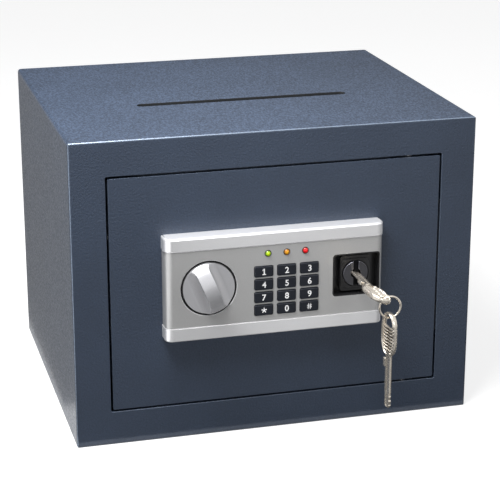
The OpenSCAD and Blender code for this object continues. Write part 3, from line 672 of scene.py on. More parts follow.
def cut_off(solid: Mesh, at: Vector, outward: Vector) -> list[bmesh.types.BMEdge]:
    """Cuts a mesh at a plane and removes what is past it.

    Args:
        solid: The mesh to cut.
        at: A point of the plane.
        outward: The plane's normal, towards what is removed.

    Returns:
        The edges along the cut.
    """
    cut = bmesh.ops.bisect_plane(
        solid, geom=[*solid.verts, *solid.edges, *solid.faces], dist=ON_PLANE, plane_co=at,
        plane_no=outward, clear_outer=True,
    )
    return [item for item in cut["geom_cut"] if isinstance(item, bmesh.types.BMEdge)]


def make_object(name: str, solid: Mesh, materials: Sequence[bpy.types.Material]) -> Piece:
    """Turns a mesh into a shown object with smooth faces and crisp edges.

    Args:
        name: The object's name.
        solid: The mesh, which is freed.
        materials: Its materials, in the order of the faces' numbers.

    Returns:
        The new object.
    """
    mesh = bpy.data.meshes.new(name)
    solid.to_mesh(mesh)
    solid.free()
    mesh.set_sharp_from_angle(angle=SHARP_ANGLE)
    for polygon in mesh.polygons:
        polygon.use_smooth = len(polygon.vertices) < 5 or polygon.area < BROAD_FACE
    for material in materials:
        mesh.materials.append(material)
    piece = bpy.data.objects.new(name, mesh)
    bpy.context.scene.collection.objects.link(piece)
    weighted = piece.modifiers.new("face weights", "WEIGHTED_NORMAL")
    weighted.keep_sharp = True
    return piece


def stand_in(node: str, solid: Mesh, *finishes: Finish) -> Piece:
    """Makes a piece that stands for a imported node.

    Args:
        node: The node.
        solid: The piece's mesh, in its place in the row frame, which is freed.
        finishes: Its finishes, in the order of the faces' numbers, or none for the node's own.

    Returns:
        The piece.
    """
    used = finishes or (finish_of(node),)
    piece = make_object(node + "_piece", solid, [finish.material() for finish in used])
    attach(piece, frame["nodes"][node]["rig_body"])
    if piece.parent is not None:
        piece.parent.rotation_mode = "QUATERNION"  # no Euler rounding where two turns line up
    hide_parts(node)
    return piece


def softened(
    node: str,
    radius: float,
    steps: int = 2,
    chosen: Optional[EdgeTest] = None,
    painted_light: Optional[FaceTest] = None,
    other: Finish = EDGE_HIGHLIGHT,
) -> Piece:
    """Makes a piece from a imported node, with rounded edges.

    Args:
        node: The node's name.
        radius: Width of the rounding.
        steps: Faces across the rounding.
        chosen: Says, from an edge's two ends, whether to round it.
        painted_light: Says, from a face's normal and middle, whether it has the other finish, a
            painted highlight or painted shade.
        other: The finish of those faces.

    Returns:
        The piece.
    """
    solid = read_solid(node)
    round_edges(solid, radius, steps, chosen)
    if painted_light is None:
        return stand_in(node, solid)
    solid.normal_update()
    for face in solid.faces:
        face.material_index = int(painted_light(face.normal, face.calc_center_median()))
    return stand_in(node, solid, finish_of(node), other)


def slants(normal: Vector, least: float, most: float) -> bool:
    """Tells whether a face looks forward by a share between two limits."""
    return least < -normal.y < most


def looks_up_or_left(normal: Vector, least: float) -> bool:
    """Tells whether a face looks up or left by more than a share."""
    return normal.z > least or normal.x < -least


def worn_front_edge(normal: Vector, _middle: Vector) -> bool:
    """Tells whether a face is the middle of a front edge that faces up or left, towards the light,
    where a highlight is painted.
    """
    return slants(normal, 0.6, 0.88) and looks_up_or_left(normal, 0.3)


def carried(node: str) -> Piece:
    """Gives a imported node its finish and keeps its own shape.

    Args:
        node: The node's name.

    Returns:
        The node's object.
    """
    piece = frame["nodes"][node]
    piece.data.materials.clear()
    piece.data.materials.append(finish_of(node).material())
    return piece


def centre_of(node: str, depth: Optional[float] = None) -> Vector:
    """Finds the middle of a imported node's box.

    Args:
        node: The node's name.
        depth: The place on Y to take in place of the middle's own.

    Returns:
        The middle.
    """
    low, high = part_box(node)
    middle = (low + high) / 2
    if depth is not None:
        middle.y = depth
    return middle


def radius_of(node: str) -> float:
    """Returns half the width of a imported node."""
    low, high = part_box(node)
    return (high.x - low.x) / 2


def around(count: int, start: float = 0.0) -> list[Pair]:
    """Returns the cosines and sines of evenly spaced angles, the first at start steps."""
    turns = [2 * math.pi * (i + start) / count for i in range(count)]
    return [(math.cos(turn), math.sin(turn)) for turn in turns]


def between(start: float, end: float, steps: int) -> list[float]:
    """Returns evenly spaced values from start to end, both included."""
    return [start + (end - start) * i / steps for i in range(steps + 1)]


def lofted(rings: Sequence[Sequence[Vector]], closed: bool = False) -> Mesh:
    """Joins rings of points into a skin.

    Args:
        rings: Rings with as many points each.
        closed: Whether the last ring joins the first. If not, both are filled.

    Returns:
        The skin.
    """
    skin = bmesh.new()
    made = [[skin.verts.new(point) for point in ring] for ring in rings]
    count = len(made[0])
    pairs = list(zip(made, made[1:]))
    if closed:
        pairs.append((made[-1], made[0]))
    for first, second in pairs:
        for i in range(count):
            j = (i + 1) % count
            skin.faces.new((first[i], first[j], second[j], second[i]))
    if not closed:
        skin.faces.new(list(reversed(made[0])))
        skin.faces.new(made[-1])
    bmesh.ops.recalc_face_normals(skin, faces=skin.faces)
    return skin


def hoop(middle: Vector, section: Sequence[Pair], steps: int) -> Mesh:
    """Turns a closed section of radii and distances towards the viewer about an axis along Y."""
    rings = [
        [middle + Vector((radius * cos, -out, radius * sin)) for radius, out in section]
        for cos, sin in around(steps)
    ]
    return lofted(rings, closed=True)


def kerb(inner: float, outer: float, top: float, foot: float = 0.0) -> list[Pair]:
    """Draws the section of a raised ring with bevelled edges.

    Args:
        inner: Its inner radius.
        outer: Its outer radius.
        top: How far it stands out.
        foot: Where its inner side starts.

    Returns:
        Radius and distance towards the viewer of its points, from the inside out.
    """
    cut = 0.3 * MM
    return [
        (inner, foot), (inner, top - cut), (inner + cut, top), (outer - cut, top),
        (outer, top - cut), (outer, 0.0),
    ]


def merge(into: Mesh, other: Mesh, material: int = 0) -> None:
    """Adds one mesh to another.

    Args:
        into: The mesh that grows.
        other: The mesh to add, which is freed.
        material: The material number of the added faces.
    """
    for face in other.faces:
        face.material_index = material
    spare = bpy.data.meshes.new("spare")
    other.to_mesh(spare)
    other.free()
    into.from_mesh(spare)
    bpy.data.meshes.remove(spare)


def outlines(text: str) -> list[list[Pair]]:
    """Draws the figures that have their own form here, one unit high.

    Args:
        text: One character.

    Returns:
        The outlines of its strokes, or none for the other figures.
    """
    if text == "1":
        return [[
            (-0.29, -0.5), (0.29, -0.5), (0.29, -0.36), (0.1, -0.36), (0.1, 0.5), (-0.04, 0.5),
            (-0.13, 0.4), (-0.29, 0.35), (-0.29, 0.22), (-0.09, 0.26), (-0.09, -0.36),
            (-0.29, -0.36),
        ]]
    if text == "*":
        star = []
        for i in range(5):
            for turn, reach in ((-11, 0.44), (11, 0.44), (36, 0.12)):
                angle = math.radians(90 + 72 * i + turn)
                star.append((reach * math.cos(angle), reach * math.sin(angle)))
        return [star]
    if text == "#":
        bars = []
        for side in (-0.17, 0.17):
            bars.append([(side - 0.1, -0.46), (side, -0.46), (side + 0.1, 0.46), (side, 0.46)])
        for level in (-0.15, 0.16):
            low, high = level - 0.05, level + 0.05
            bars.append([(-0.38, low), (0.36, low), (0.38, high), (-0.36, high)])
        return bars
    return []


def typed(text: str, height: float, bold: float, depth: float) -> Mesh:
    """Makes a numeral from the built-in type face, upright in X and Z.

    Args:
        text: One character.
        height: Its height.
        bold: How far its outline is thickened.
        depth: Its thickness.

    Returns:
        The numeral's mesh.
    """
    cap_share = 0.73  # a numeral's height in the type face
    curve = bpy.data.curves.new("figure", "FONT")
    curve.body = text
    curve.align_x = "CENTER"
    curve.size = height / cap_share
    curve.offset = bold
    curve.extrude = depth / 2
    curve.resolution_u = 6
    holder = bpy.data.objects.new("figure", curve)
    bpy.context.scene.collection.objects.link(holder)
    glyph = bmesh.new()
    glyph.from_mesh(holder.to_mesh())
    bpy.data.objects.remove(holder)
    bpy.data.curves.remove(curve)
    low = Vector([min(vert.co[i] for vert in glyph.verts) for i in range(3)])
    high = Vector([max(vert.co[i] for vert in glyph.verts) for i in range(3)])
    upright = Matrix.Rotation(math.pi / 2, 4, "X") @ Matrix.Translation(-(low + high) / 2)
    bmesh.ops.transform(glyph, matrix=upright, verts=glyph.verts)
    bmesh.ops.remove_doubles(glyph, verts=glyph.verts, dist=WELD)
    return glyph


def figure(text: str, height: float, bold: float, depth: float) -> Mesh:
    """Makes a printed figure, upright in X and Z, centred on the origin.

    Args:
        text: One character.
        height: Height of a numeral.
        bold: How far a typed outline is thickened.
        depth: How far it stands out, towards minus Y.

    Returns:
        The figure's mesh.
    """
    strokes = outlines(text)
    if not strokes:
        return typed(text, height, bold, depth)
    drawn = bmesh.new()
    for i, outline in enumerate(strokes):
        out = depth * (1 - 0.15 * (i // 2))  # crossing bars differ, so their faces don't coincide
        rings = [[Vector((x * height, y, z * height)) for x, z in outline] for y in (0.0, -out)]
        merge(drawn, lofted(rings))
    return drawn


@dataclass
class SubAssembly:
    """A group of pieces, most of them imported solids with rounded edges.

    Attributes:
        rounded: Radius and steps of the rounding of each such solid.
        kept: Solids that keep their own shape.
    """

    rounded: Rounding = field(default_factory=dict)
    kept: tuple[str, ...] = ()

    def build(self) -> list[Piece]:
        """Makes the group's pieces and returns them."""
        pieces = self.own() + [softened(node, *how) for node, how in self.rounded.items()]
        return pieces + [carried(node) for node in self.kept]

    def own(self) -> list[Piece]:
        """Returns the pieces that need more than rounding."""
        return []


def rounding(radius: float, *nodes: str, steps: int = 2) -> Rounding:
    """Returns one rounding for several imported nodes."""
    return {node: (radius, steps) for node in nodes}


@dataclass
class Cabinet(SubAssembly):
    """The steel body: folded shell, front frame, back, stops, pivots and mat.

    Attributes:
        front_edge: Rounding of the outer front edges.
        sheet_edge: Rounding of cut sheet edges.
        slot_margin: Least distance from the roof's slot to the cabinet's sides.
        roof_depth: Depth below the roof's top that holds the slot's cut edges, which are painted
            near-black as shade.
    """

    front_edge: float = 0.6 * MM
    sheet_edge: float = 0.5 * MM
    slot_margin: float = 60 * MM
    roof_depth: float = 4 * MM
    rounded: Rounding = field(
        default_factory=lambda: {
            **rounding(0.5 * MM, "back_panel", "door_stops", "strike_plate", "hinge_brackets"),
            **rounding(0.3 * MM, "slot_baffle"),
            **rounding(0.4 * MM, "hinge_pins"),
            **rounding(0.8 * MM, "floor_mat"),
        }
    )

    def own(self) -> list[Piece]:
        """Makes the shell and the front frame, crisp where the one is welded to the other.

        Returns:
            The two pieces.
        """
        low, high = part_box("cabinet_shell")
        seam = low.y + SKIM
        roof = high.z - self.roof_depth
        slot = high.x - self.slot_margin
        shell = softened(
            "cabinet_shell",
            self.sheet_edge,
            chosen=lambda first, second: max(first.y, second.y) > seam,
            # the slot's inner walls get near-black painted shade
            painted_light=lambda normal, at: abs(normal.z) < 0.5 and at.z > roof and abs(at.x) < slot,
            other=SLOT_SHADE,
        )
        face = before(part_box("front_frame")[0].y + SKIM)
        # the frame's front edges that face up or left get a painted highlight
        return [shell, softened("front_frame", self.front_edge, 3, face, worn_front_edge)]


@dataclass
class Door(SubAssembly):
    """The door plate and what is fixed behind it.

    Attributes:
        edge: Rounding of the door's face.
    """

    edge: float = 0.9 * MM
    rounded: Rounding = field(
        default_factory=lambda: {
            **rounding(0.4 * MM, "door_liner", "hinge_lugs", "dog_bar"),
            **rounding(0.3 * MM, "liner_screws"),
        }
    )

    def own(self) -> list[Piece]:
        """Returns the door plate, with a painted highlight on its edges that face up or left."""
        return [softened("door_plate", self.edge, 3, painted_light=worn_front_edge)]


@dataclass
class BoltWork(SubAssembly):
    """Bolts, carriage, guide, crank and the parts that block or release them."""

    rounded: Rounding = field(
        default_factory=lambda: {
            **rounding(0.3 * MM, "bolt_carriage", "bolt_guide", "crank", "lock_cam"),
            **rounding(0.3 * MM, "release_rod", "guide_posts"),
            **rounding(0.8 * MM, "live_bolts", steps=3),
            **rounding(0.6 * MM, "solenoid"),
            **rounding(0.3 * MM, "solenoid_plunger"),
        }
    )
    kept: tuple[str, ...] = ("knob_spindle", "knob_bush")


@dataclass
class BatteryBay(SubAssembly):
    """Battery box, cells, contacts, cover and the reset button inside the door."""

    rounded: Rounding = field(
        default_factory=lambda: {
            **rounding(0.4 * MM, "battery_box", "battery_cover"),
            **rounding(0.6 * MM, "batteries", steps=3),
            **rounding(0.8 * MM, "reset_button", steps=3),
        }
    )
    kept: tuple[str, ...] = ("battery_contacts",)


@dataclass
class LockPanel(SubAssembly):
    """The silver panel with its lamps, the knob's sleeve and the lock.

    Attributes:
        band_edge: Rounding along the panel's top.
        band_line: Rounding of the bands towards the film.
        corner: Radius of the panel's upright corners.
        fascia_edge: Rounding of the grey film's cut-outs.
        knob_clear: Radius about the knob that holds only its own cut-out.
        knob_slope: Width of the slope round the knob.
        knob_play: Room between the knob and its sleeve.
        sleeve_drop: How far the sleeve ends below the film.
        sleeve_floor: Thickness of the sleeve's floor.
        sleeve_reach: How far that floor runs in under the knob.
        bezel_wall: Width of a lamp's dark ring.
        bezel_rise: How far it stands out.
        bezel_play: Room between it and the lamp.
        recess_edge: Rounding of the lock's black recess.
        step_inner: Inner radius of the step round the lock's head.
        step_outer: Half width of its squarish outside.
        step_rise: Height of that step.
        pad_depth: Depth of the pad that it stands on.
        head_radius: Radius of the lock's head.
        eye_radius: Radius of the opening for the key in the head's lobes.
        channel: Width of the channel between the lobes.
        lobe_depth: Thickness of the lobes.
        lobe_slope: How far their outer sides lean back.
        lobe_root: How far they reach into the head.
        lobe_edge: Rounding of their edges.
        plug_drop: How far the plug's face lies behind them.
    """

    band_edge: float = 2.0 * MM
    band_line: float = 0.45 * MM
    corner: float = 7 * MM
    fascia_edge: float = 0.25 * MM
    knob_clear: float = 25 * MM
    knob_slope: float = 0.9 * MM
    knob_play: float = 0.35 * MM
    sleeve_drop: float = 0.9 * MM
    sleeve_floor: float = 2 * MM
    sleeve_reach: float = 8 * MM
    bezel_wall: float = 0.45 * MM
    bezel_rise: float = 0.35 * MM
    bezel_play: float = 0.08 * MM
    recess_edge: float = 0.5 * MM
    step_inner: float = 11.6 * MM
    step_outer: float = 13.2 * MM
    step_rise: float = 0.8 * MM
    pad_depth: float = 3.4 * MM
    head_radius: float = 11 * MM
    eye_radius: float = 4.4 * MM
    channel: float = 4.4 * MM
    lobe_depth: float = 2.2 * MM
    lobe_slope: float = 1.4 * MM
    lobe_root: float = 0.4 * MM
    lobe_edge: float = 0.6 * MM
    plug_drop: float = 0.6 * MM
    lamps: dict[str, tuple[Colour, Colour]] = field(
        default_factory=lambda: {
            "lamp_green": (srgb(120, 160, 0), srgb(205, 235, 0)),
            "lamp_amber": (srgb(170, 105, 0), srgb(226, 160, 0)),
            "lamp_red": (srgb(190, 0, 8), srgb(255, 10, 22)),
        }
    )

    def own(self) -> list[Piece]:
        """Returns the panel's pieces."""
        return [
            self.housing(), self.fascia(), self.sleeve(), self.escutcheon(), self.lock_head(),
            self.plug(), softened("panel_screws", 0.3 * MM), self.bezels(),
            *(self.lamp(node, *colours) for node, colours in self.lamps.items()),
        ]

    def housing(self) -> Piece:
        """Makes the silver body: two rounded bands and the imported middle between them.

        Returns:
            The piece.
        """
        low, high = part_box("panel_housing")
        film_low, film_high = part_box("panel_fascia")
        body = read_solid("panel_housing")
        cut_off(body, Vector((0, 0, film_low.z)), Vector((0, 0, -1)))
        cut_off(body, Vector((0, 0, film_high.z)), Vector((0, 0, 1)))
        merge(body, self.band(low.z, film_low.z, self.band_edge / 2, self.band_line))
        merge(body, self.band(film_high.z, high.z, self.band_line, self.band_edge))
        return stand_in("panel_housing", body)

    def band(self, start: float, end: float, below: float, above: float) -> Mesh:
        """Makes one band across the panel, with rounded upright corners.

        Args:
            start: Height of the band's lower side.
            end: Height of its upper side.
            below: Rounding of the lower edge.
            above: Rounding of the upper edge.

        Returns:
            The band.
        """
        arc = [(1 - math.sin(turn), 1 - math.cos(turn)) for turn in between(0, math.pi / 2, 8)]
        levels = [(start + below * up, below * inward) for up, inward in reversed(arc)]
        levels += [(end - above * up, above * inward) for up, inward in arc]
        return lofted([self.plan(at, inset) for at, inset in levels])

    def plan(self, at: float, inset: float) -> list[Vector]:
        """Works out the panel's outline, seen from above.

        Args:
            at: Height of the outline.
            inset: How far it is drawn in.

        Returns:
            The outline's points, from the door's face round to it again.
        """
        low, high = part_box("panel_housing")
        radius = self.corner - inset
        outline = [Vector((low.x + inset, high.y, at))]
        for side, first in ((low.x + self.corner, 180), (high.x - self.corner, 270)):
            for turn in between(math.radians(first), math.radians(first + 90), 12):
                across = side + radius * math.cos(turn)
                outline.append(Vector((across, low.y + self.corner + radius * math.sin(turn), at)))
        return outline + [Vector((high.x - inset, high.y, at))]

    def fascia(self) -> Piece:
        """Makes the grey film, with a wide slope round the knob and fine ones elsewhere; the slope
        round the knob is lighter, partly a cut edge and partly a painted highlight.

        Returns:
            The piece.
        """
        film = read_solid("panel_fascia")
        on_face = before(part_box("panel_fascia")[0].y + SKIM / 2)
        axis = centre_of("knob")

        def reach(spot: Vector) -> float:
            """Returns the distance from the knob's axis."""
            return math.hypot(spot.x - axis.x, spot.z - axis.z)

        def at_knob(first: Vector, second: Vector) -> bool:
            """Tells whether an edge runs round the knob, on the film's face."""
            return on_face(first, second) and max(reach(first), reach(second)) < self.knob_clear

        def elsewhere(first: Vector, second: Vector) -> bool:
            """Tells whether an edge of the film's face starts away from the knob."""
            return on_face(first, second) and reach(first) > self.knob_clear

        round_edges(film, self.knob_slope, 1, at_knob)
        round_edges(film, self.fascia_edge, 2, elsewhere)
        film.normal_update()
        for face in film.faces:
            near = reach(face.calc_center_median()) < self.knob_clear
            # the slope round the knob gets the lighter finish, partly a painted highlight
            face.material_index = int(near and slants(face.normal, 0.3, 0.95))
        return stand_in("panel_fascia", film, finish_of("panel_fascia"), CUT_EDGE_HIGHLIGHT)

    def sleeve(self) -> Piece:
        """Makes the black ring round the knob, just below the film.

        Returns:
            The piece.
        """
        low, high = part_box("knob_ring")
        inner = radius_of("knob") + self.knob_play
        tall = high.y - low.y - self.sleeve_drop
        section = kerb(inner, radius_of("knob_ring"), tall, self.sleeve_floor)
        hole = inner - self.sleeve_reach
        section += [(hole, 0.0), (hole, self.sleeve_floor)]
        return stand_in("knob_ring", hoop(centre_of("knob_ring", high.y), section, 72))

    def escutcheon(self) -> Piece:
        """Makes the black recess, with a low step on its pad round the lock's head.

        Returns:
            The piece.
        """
        body = read_solid("lock_escutcheon")
        round_edges(body, self.recess_edge, 3)
        axis = centre_of("lock_plug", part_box("lock_escutcheon")[0].y + self.pad_depth)
        squareness = 5
        rings = []
        for radius, rise in reversed(kerb(self.step_inner, self.step_outer, self.step_rise)):
            outside = radius > (self.step_inner + self.step_outer) / 2
            ring = []
            for cos, sin in around(96):
                power = abs(cos) ** squareness + abs(sin) ** squareness
                reach = radius * (power ** (-1 / squareness) if outside else 1.0)
                ring.append(axis + Vector((reach * cos, -rise, reach * sin)))
            rings.append(ring)
        merge(body, lofted(rings, closed=True))
        return stand_in("lock_escutcheon", body)

    def lock_head(self) -> Piece:
        """Makes the lock's body, with two lobes beside an upright channel on its head; the body is
        near-black painted shade and the lobes' faces towards the upper left carry a painted
        highlight.

        Returns:
            The piece.
        """
        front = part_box("lock_body")[0].y
        body = read_solid("lock_body")
        rim = cut_off(body, Vector((0, front + self.lobe_depth, 0)), Vector((0, -1, 0)))
        bmesh.ops.holes_fill(body, edges=rim)
        for side in (-1, 1):
            merge(body, self.lobe(side), material=1)
        body.normal_update()
        for face in body.faces:
            # lobe faces that face up or left get a painted highlight
            painted_light = slants(face.normal, 0.3, 0.9) and looks_up_or_left(face.normal, 0.35)
            if face.material_index == 1 and painted_light:
                face.material_index = 2
        return stand_in("lock_body", body, PAINTED_DEPTH_SHADE, finish_of("lock_body"), LOBE_HIGHLIGHT)

    def lobe(self, side: int) -> Mesh:
        """Makes one of the head's lobes, a disc's half round the key's opening.

        Args:
            side: 1 for the right one and -1 for the left one.

        Returns:
            The lobe.
        """
        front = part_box("lock_body")[0].y
        foot = front + self.lobe_depth + self.lobe_root
        axis = centre_of("lock_plug", foot)
        lobe = bmesh.new()
        outline = []
        for radius, way in ((self.head_radius, 1), (self.eye_radius, -1)):
            limit = way * math.acos(self.channel / 2 / radius)
            for turn in between(-limit, limit, 24):
                across = Vector((side * radius * math.cos(turn), 0, radius * math.sin(turn)))
                outline.append(lobe.verts.new(axis + across))
        pulled = bmesh.ops.extrude_face_region(lobe, geom=[lobe.faces.new(outline)])["geom"]
        for item in pulled:
            if isinstance(item, bmesh.types.BMVert):
                away = (item.co.x - axis.x) * side / self.head_radius
                item.co.y = front + self.lobe_slope * away
        bmesh.ops.recalc_face_normals(lobe, faces=lobe.faces)
        round_edges(lobe, self.lobe_edge, 3)
        return lobe

    def plug(self) -> Piece:
        """Makes the plug, whose face lies behind the lobes, in near-black painted shade.

        Returns:
            The piece.
        """
        plug = read_solid("lock_plug")
        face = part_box("lock_body")[0].y + self.lobe_depth + self.plug_drop
        for vert in plug.verts:
            vert.co.y = max(vert.co.y, face)
        round_edges(plug, 0.2 * MM)
        return stand_in("lock_plug", plug, PAINTED_DEPTH_SHADE)

    def bezels(self) -> Piece:
        """Makes the three dark rings round the lamps.

        Returns:
            The piece.
        """
        rings = bmesh.new()
        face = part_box("lamp_bezels")[1].y
        half = self.bezel_wall / 2
        for lamp in self.lamps:
            radius = radius_of(lamp) + half + self.bezel_play
            section = [(radius + half * cos, self.bezel_rise * sin) for cos, sin in around(10)]
            merge(rings, hoop(centre_of(lamp, face), section, 40))
        return stand_in("lamp_bezels", rings, LAMP_RIM)

    def lamp(self, node: str, edge: Colour, core: Colour) -> Piece:
        """Makes one domed lamp.

        Args:
            node: The lamp's node.
            edge: Its colour near the rim.
            core: Its colour in the middle.

        Returns:
            The piece.
        """
        low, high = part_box(node)
        radius = radius_of(node)
        foot = centre_of(node, low.y + radius)
        rise = 0.8 * radius
        # a narrower skirt under the dome, down to the lamp's back
        profile = [(radius * 0.96, foot.y - high.y), (radius * 0.98, -0.3 * MM)]
        for turn in between(0, math.pi / 2, 23)[::2]:  # stops short of the dome's pole
            profile.append((radius * math.cos(turn), rise * math.sin(turn)))
        rings = [
            [foot + Vector((reach * cos, -out, reach * sin)) for cos, sin in around(48)]
            for reach, out in profile
        ]
        return stand_in(node, lofted(rings), Lens(node + "_lens", edge, core, tuple(foot), radius))


@dataclass
class Keypad(SubAssembly):
    """Twelve push buttons with printed figures, the membrane and the board.

    Attributes:
        cap_edge: Rounding of a button's face.
        figure_height: Height of a printed numeral.
        figure_bold: How far the figures' outlines are thickened.
        print_depth: How far the print stands out.
        figures: The figure on each button.
    """

    cap_edge: float = 0.75 * MM
    figure_height: float = 5.4 * MM
    figure_bold: float = 0.12 * MM
    print_depth: float = 0.03 * MM
    figures: dict[str, str] = field(
        default_factory=lambda: {
            **{f"button_{i}": str(i) for i in range(10)}, "button_star": "*", "button_hash": "#",
        }
    )
    rounded: Rounding = field(
        default_factory=lambda: rounding(0.2 * MM, "circuit_board")
    )
    kept: tuple[str, ...] = ("keypad_membrane",)

    def own(self) -> list[Piece]:
        """Returns the buttons."""
        return [self.button(node, text) for node, text in self.figures.items()]

    def button(self, node: str, text: str) -> Piece:
        """Makes one button.

        Args:
            node: The button's node.
            text: The figure on it.

        Returns:
            The piece.
        """
        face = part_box(node)[0].y
        cap = read_solid(node)
        round_edges(cap, self.cap_edge, 4, before(face + SKIM / 2))
        glyph = figure(text, self.figure_height, self.figure_bold, self.print_depth)
        spot = Matrix.Translation(centre_of(node, face))
        bmesh.ops.transform(glyph, matrix=spot, verts=glyph.verts)
        merge(cap, glyph, material=1)
        return stand_in(node, cap, finish_of(node), LEGEND)


@dataclass
class Knob(SubAssembly):
    """The turning knob with its arched grip.

    Attributes:
        grip_width: Width of the grip.
        grip_rise: Height of the grip above the rim.
        foot: Radius of the hollows beside the grip.
        foot_cut: How far the hollows stay short of a full quarter.
        arch_over: How far outside the rim the grip's arch would end.
        lean: How far the grip leans to the left, in degrees.
        edge: Rounding of the grip's edges.
        cuts: Faces along each cut of the knob's face.
        hollow_cuts: Cuts beside the grip.
    """

    grip_width: float = 11.5 * MM
    grip_rise: float = 12 * MM
    foot: float = 8 * MM
    foot_cut: float = 0.15 * MM
    arch_over: float = 0.4 * MM
    lean: float = 22.0
    edge: float = 0.22 * MM
    cuts: int = 72
    hollow_cuts: int = 30

    def own(self) -> list[Piece]:
        """Makes the knob, its face as a grid of cuts across the grip.

        Returns:
            The piece, in a list.
        """
        low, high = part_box("knob")
        radius = radius_of("knob")
        rim = low.y + self.grip_rise
        skin = bmesh.new()
        made = []
        for across, sunk in self.stations(radius):
            chord = math.sqrt(max(radius * radius - across * across, 0.0)) + HAIR
            row = []
            for along in between(chord, -chord, self.cuts):
                height = self.height(abs(across), along, radius) - sunk
                row.append(skin.verts.new((across, rim - height, along)))
            made.append(row)
        for first, second in zip(made, made[1:]):
            for i in range(self.cuts):
                skin.faces.new((first[i], first[i + 1], second[i + 1], second[i]))
        # once round the face, to join it to the flat back
        border = made[0] + [row[-1] for row in made[1:-1]]
        border += made[-1][::-1] + [row[0] for row in made[-2:0:-1]]
        back = [skin.verts.new((vert.co.x, high.y, vert.co.z)) for vert in border]
        for i, vert in enumerate(border):
            j = (i + 1) % len(border)
            skin.faces.new((vert, border[j], back[j], back[i]))
        skin.faces.new(back)
        bmesh.ops.recalc_face_normals(skin, faces=skin.faces)
        lean = Matrix.Rotation(-math.radians(self.lean), 4, "Y")
        place = Matrix.Translation(centre_of("knob", 0.0)) @ lean
        bmesh.ops.transform(skin, matrix=place, verts=skin.verts)
        return [stand_in("knob", skin)]

    def stations(self, radius: float) -> list[Pair]:
        """Works out where to cut the knob across the grip.

        Args:
            radius: The knob's radius.

        Returns:
            Places across it, with how far the surface is rounded down there.
        """
        half = self.grip_width / 2
        right = [(across, 0.0) for across in between(0.0, half, 6)[:-1]]
        for turn in between(0, math.pi / 2, 3):
            inset, sunk = self.edge * (1 - math.sin(turn)), self.edge * (1 - math.cos(turn))
            right.append((half - inset, sunk))
        right.append((half + HAIR, 0.0))
        start = half + SKIM
        for turn in between(0, math.pi / 2, self.hollow_cuts):
            right.append((start + (radius - start) * math.sin(turn), 0.0))
        return [(-across, sunk) for across, sunk in reversed(right[1:])] + right

    def height(self, across: float, along: float, radius: float) -> float:
        """Works out the knob's face.

        Args:
            across: Distance from the grip's middle.
            along: Distance along the grip.
            radius: The knob's radius.

        Returns:
            Height above the rim.
        """
        reach = radius + self.arch_over
        curve = (reach * reach + self.grip_rise ** 2) / (2 * self.grip_rise)
        arch = self.grip_rise - curve + math.sqrt(curve * curve - along * along)
        half = self.grip_width / 2
        if across <= half:
            return arch
        hollow = self.foot - self.foot_cut
        past = across - half - hollow
        side = 0.0 if past > 0 else hollow - math.sqrt(self.foot ** 2 - past * past)
        return min(arch, side)


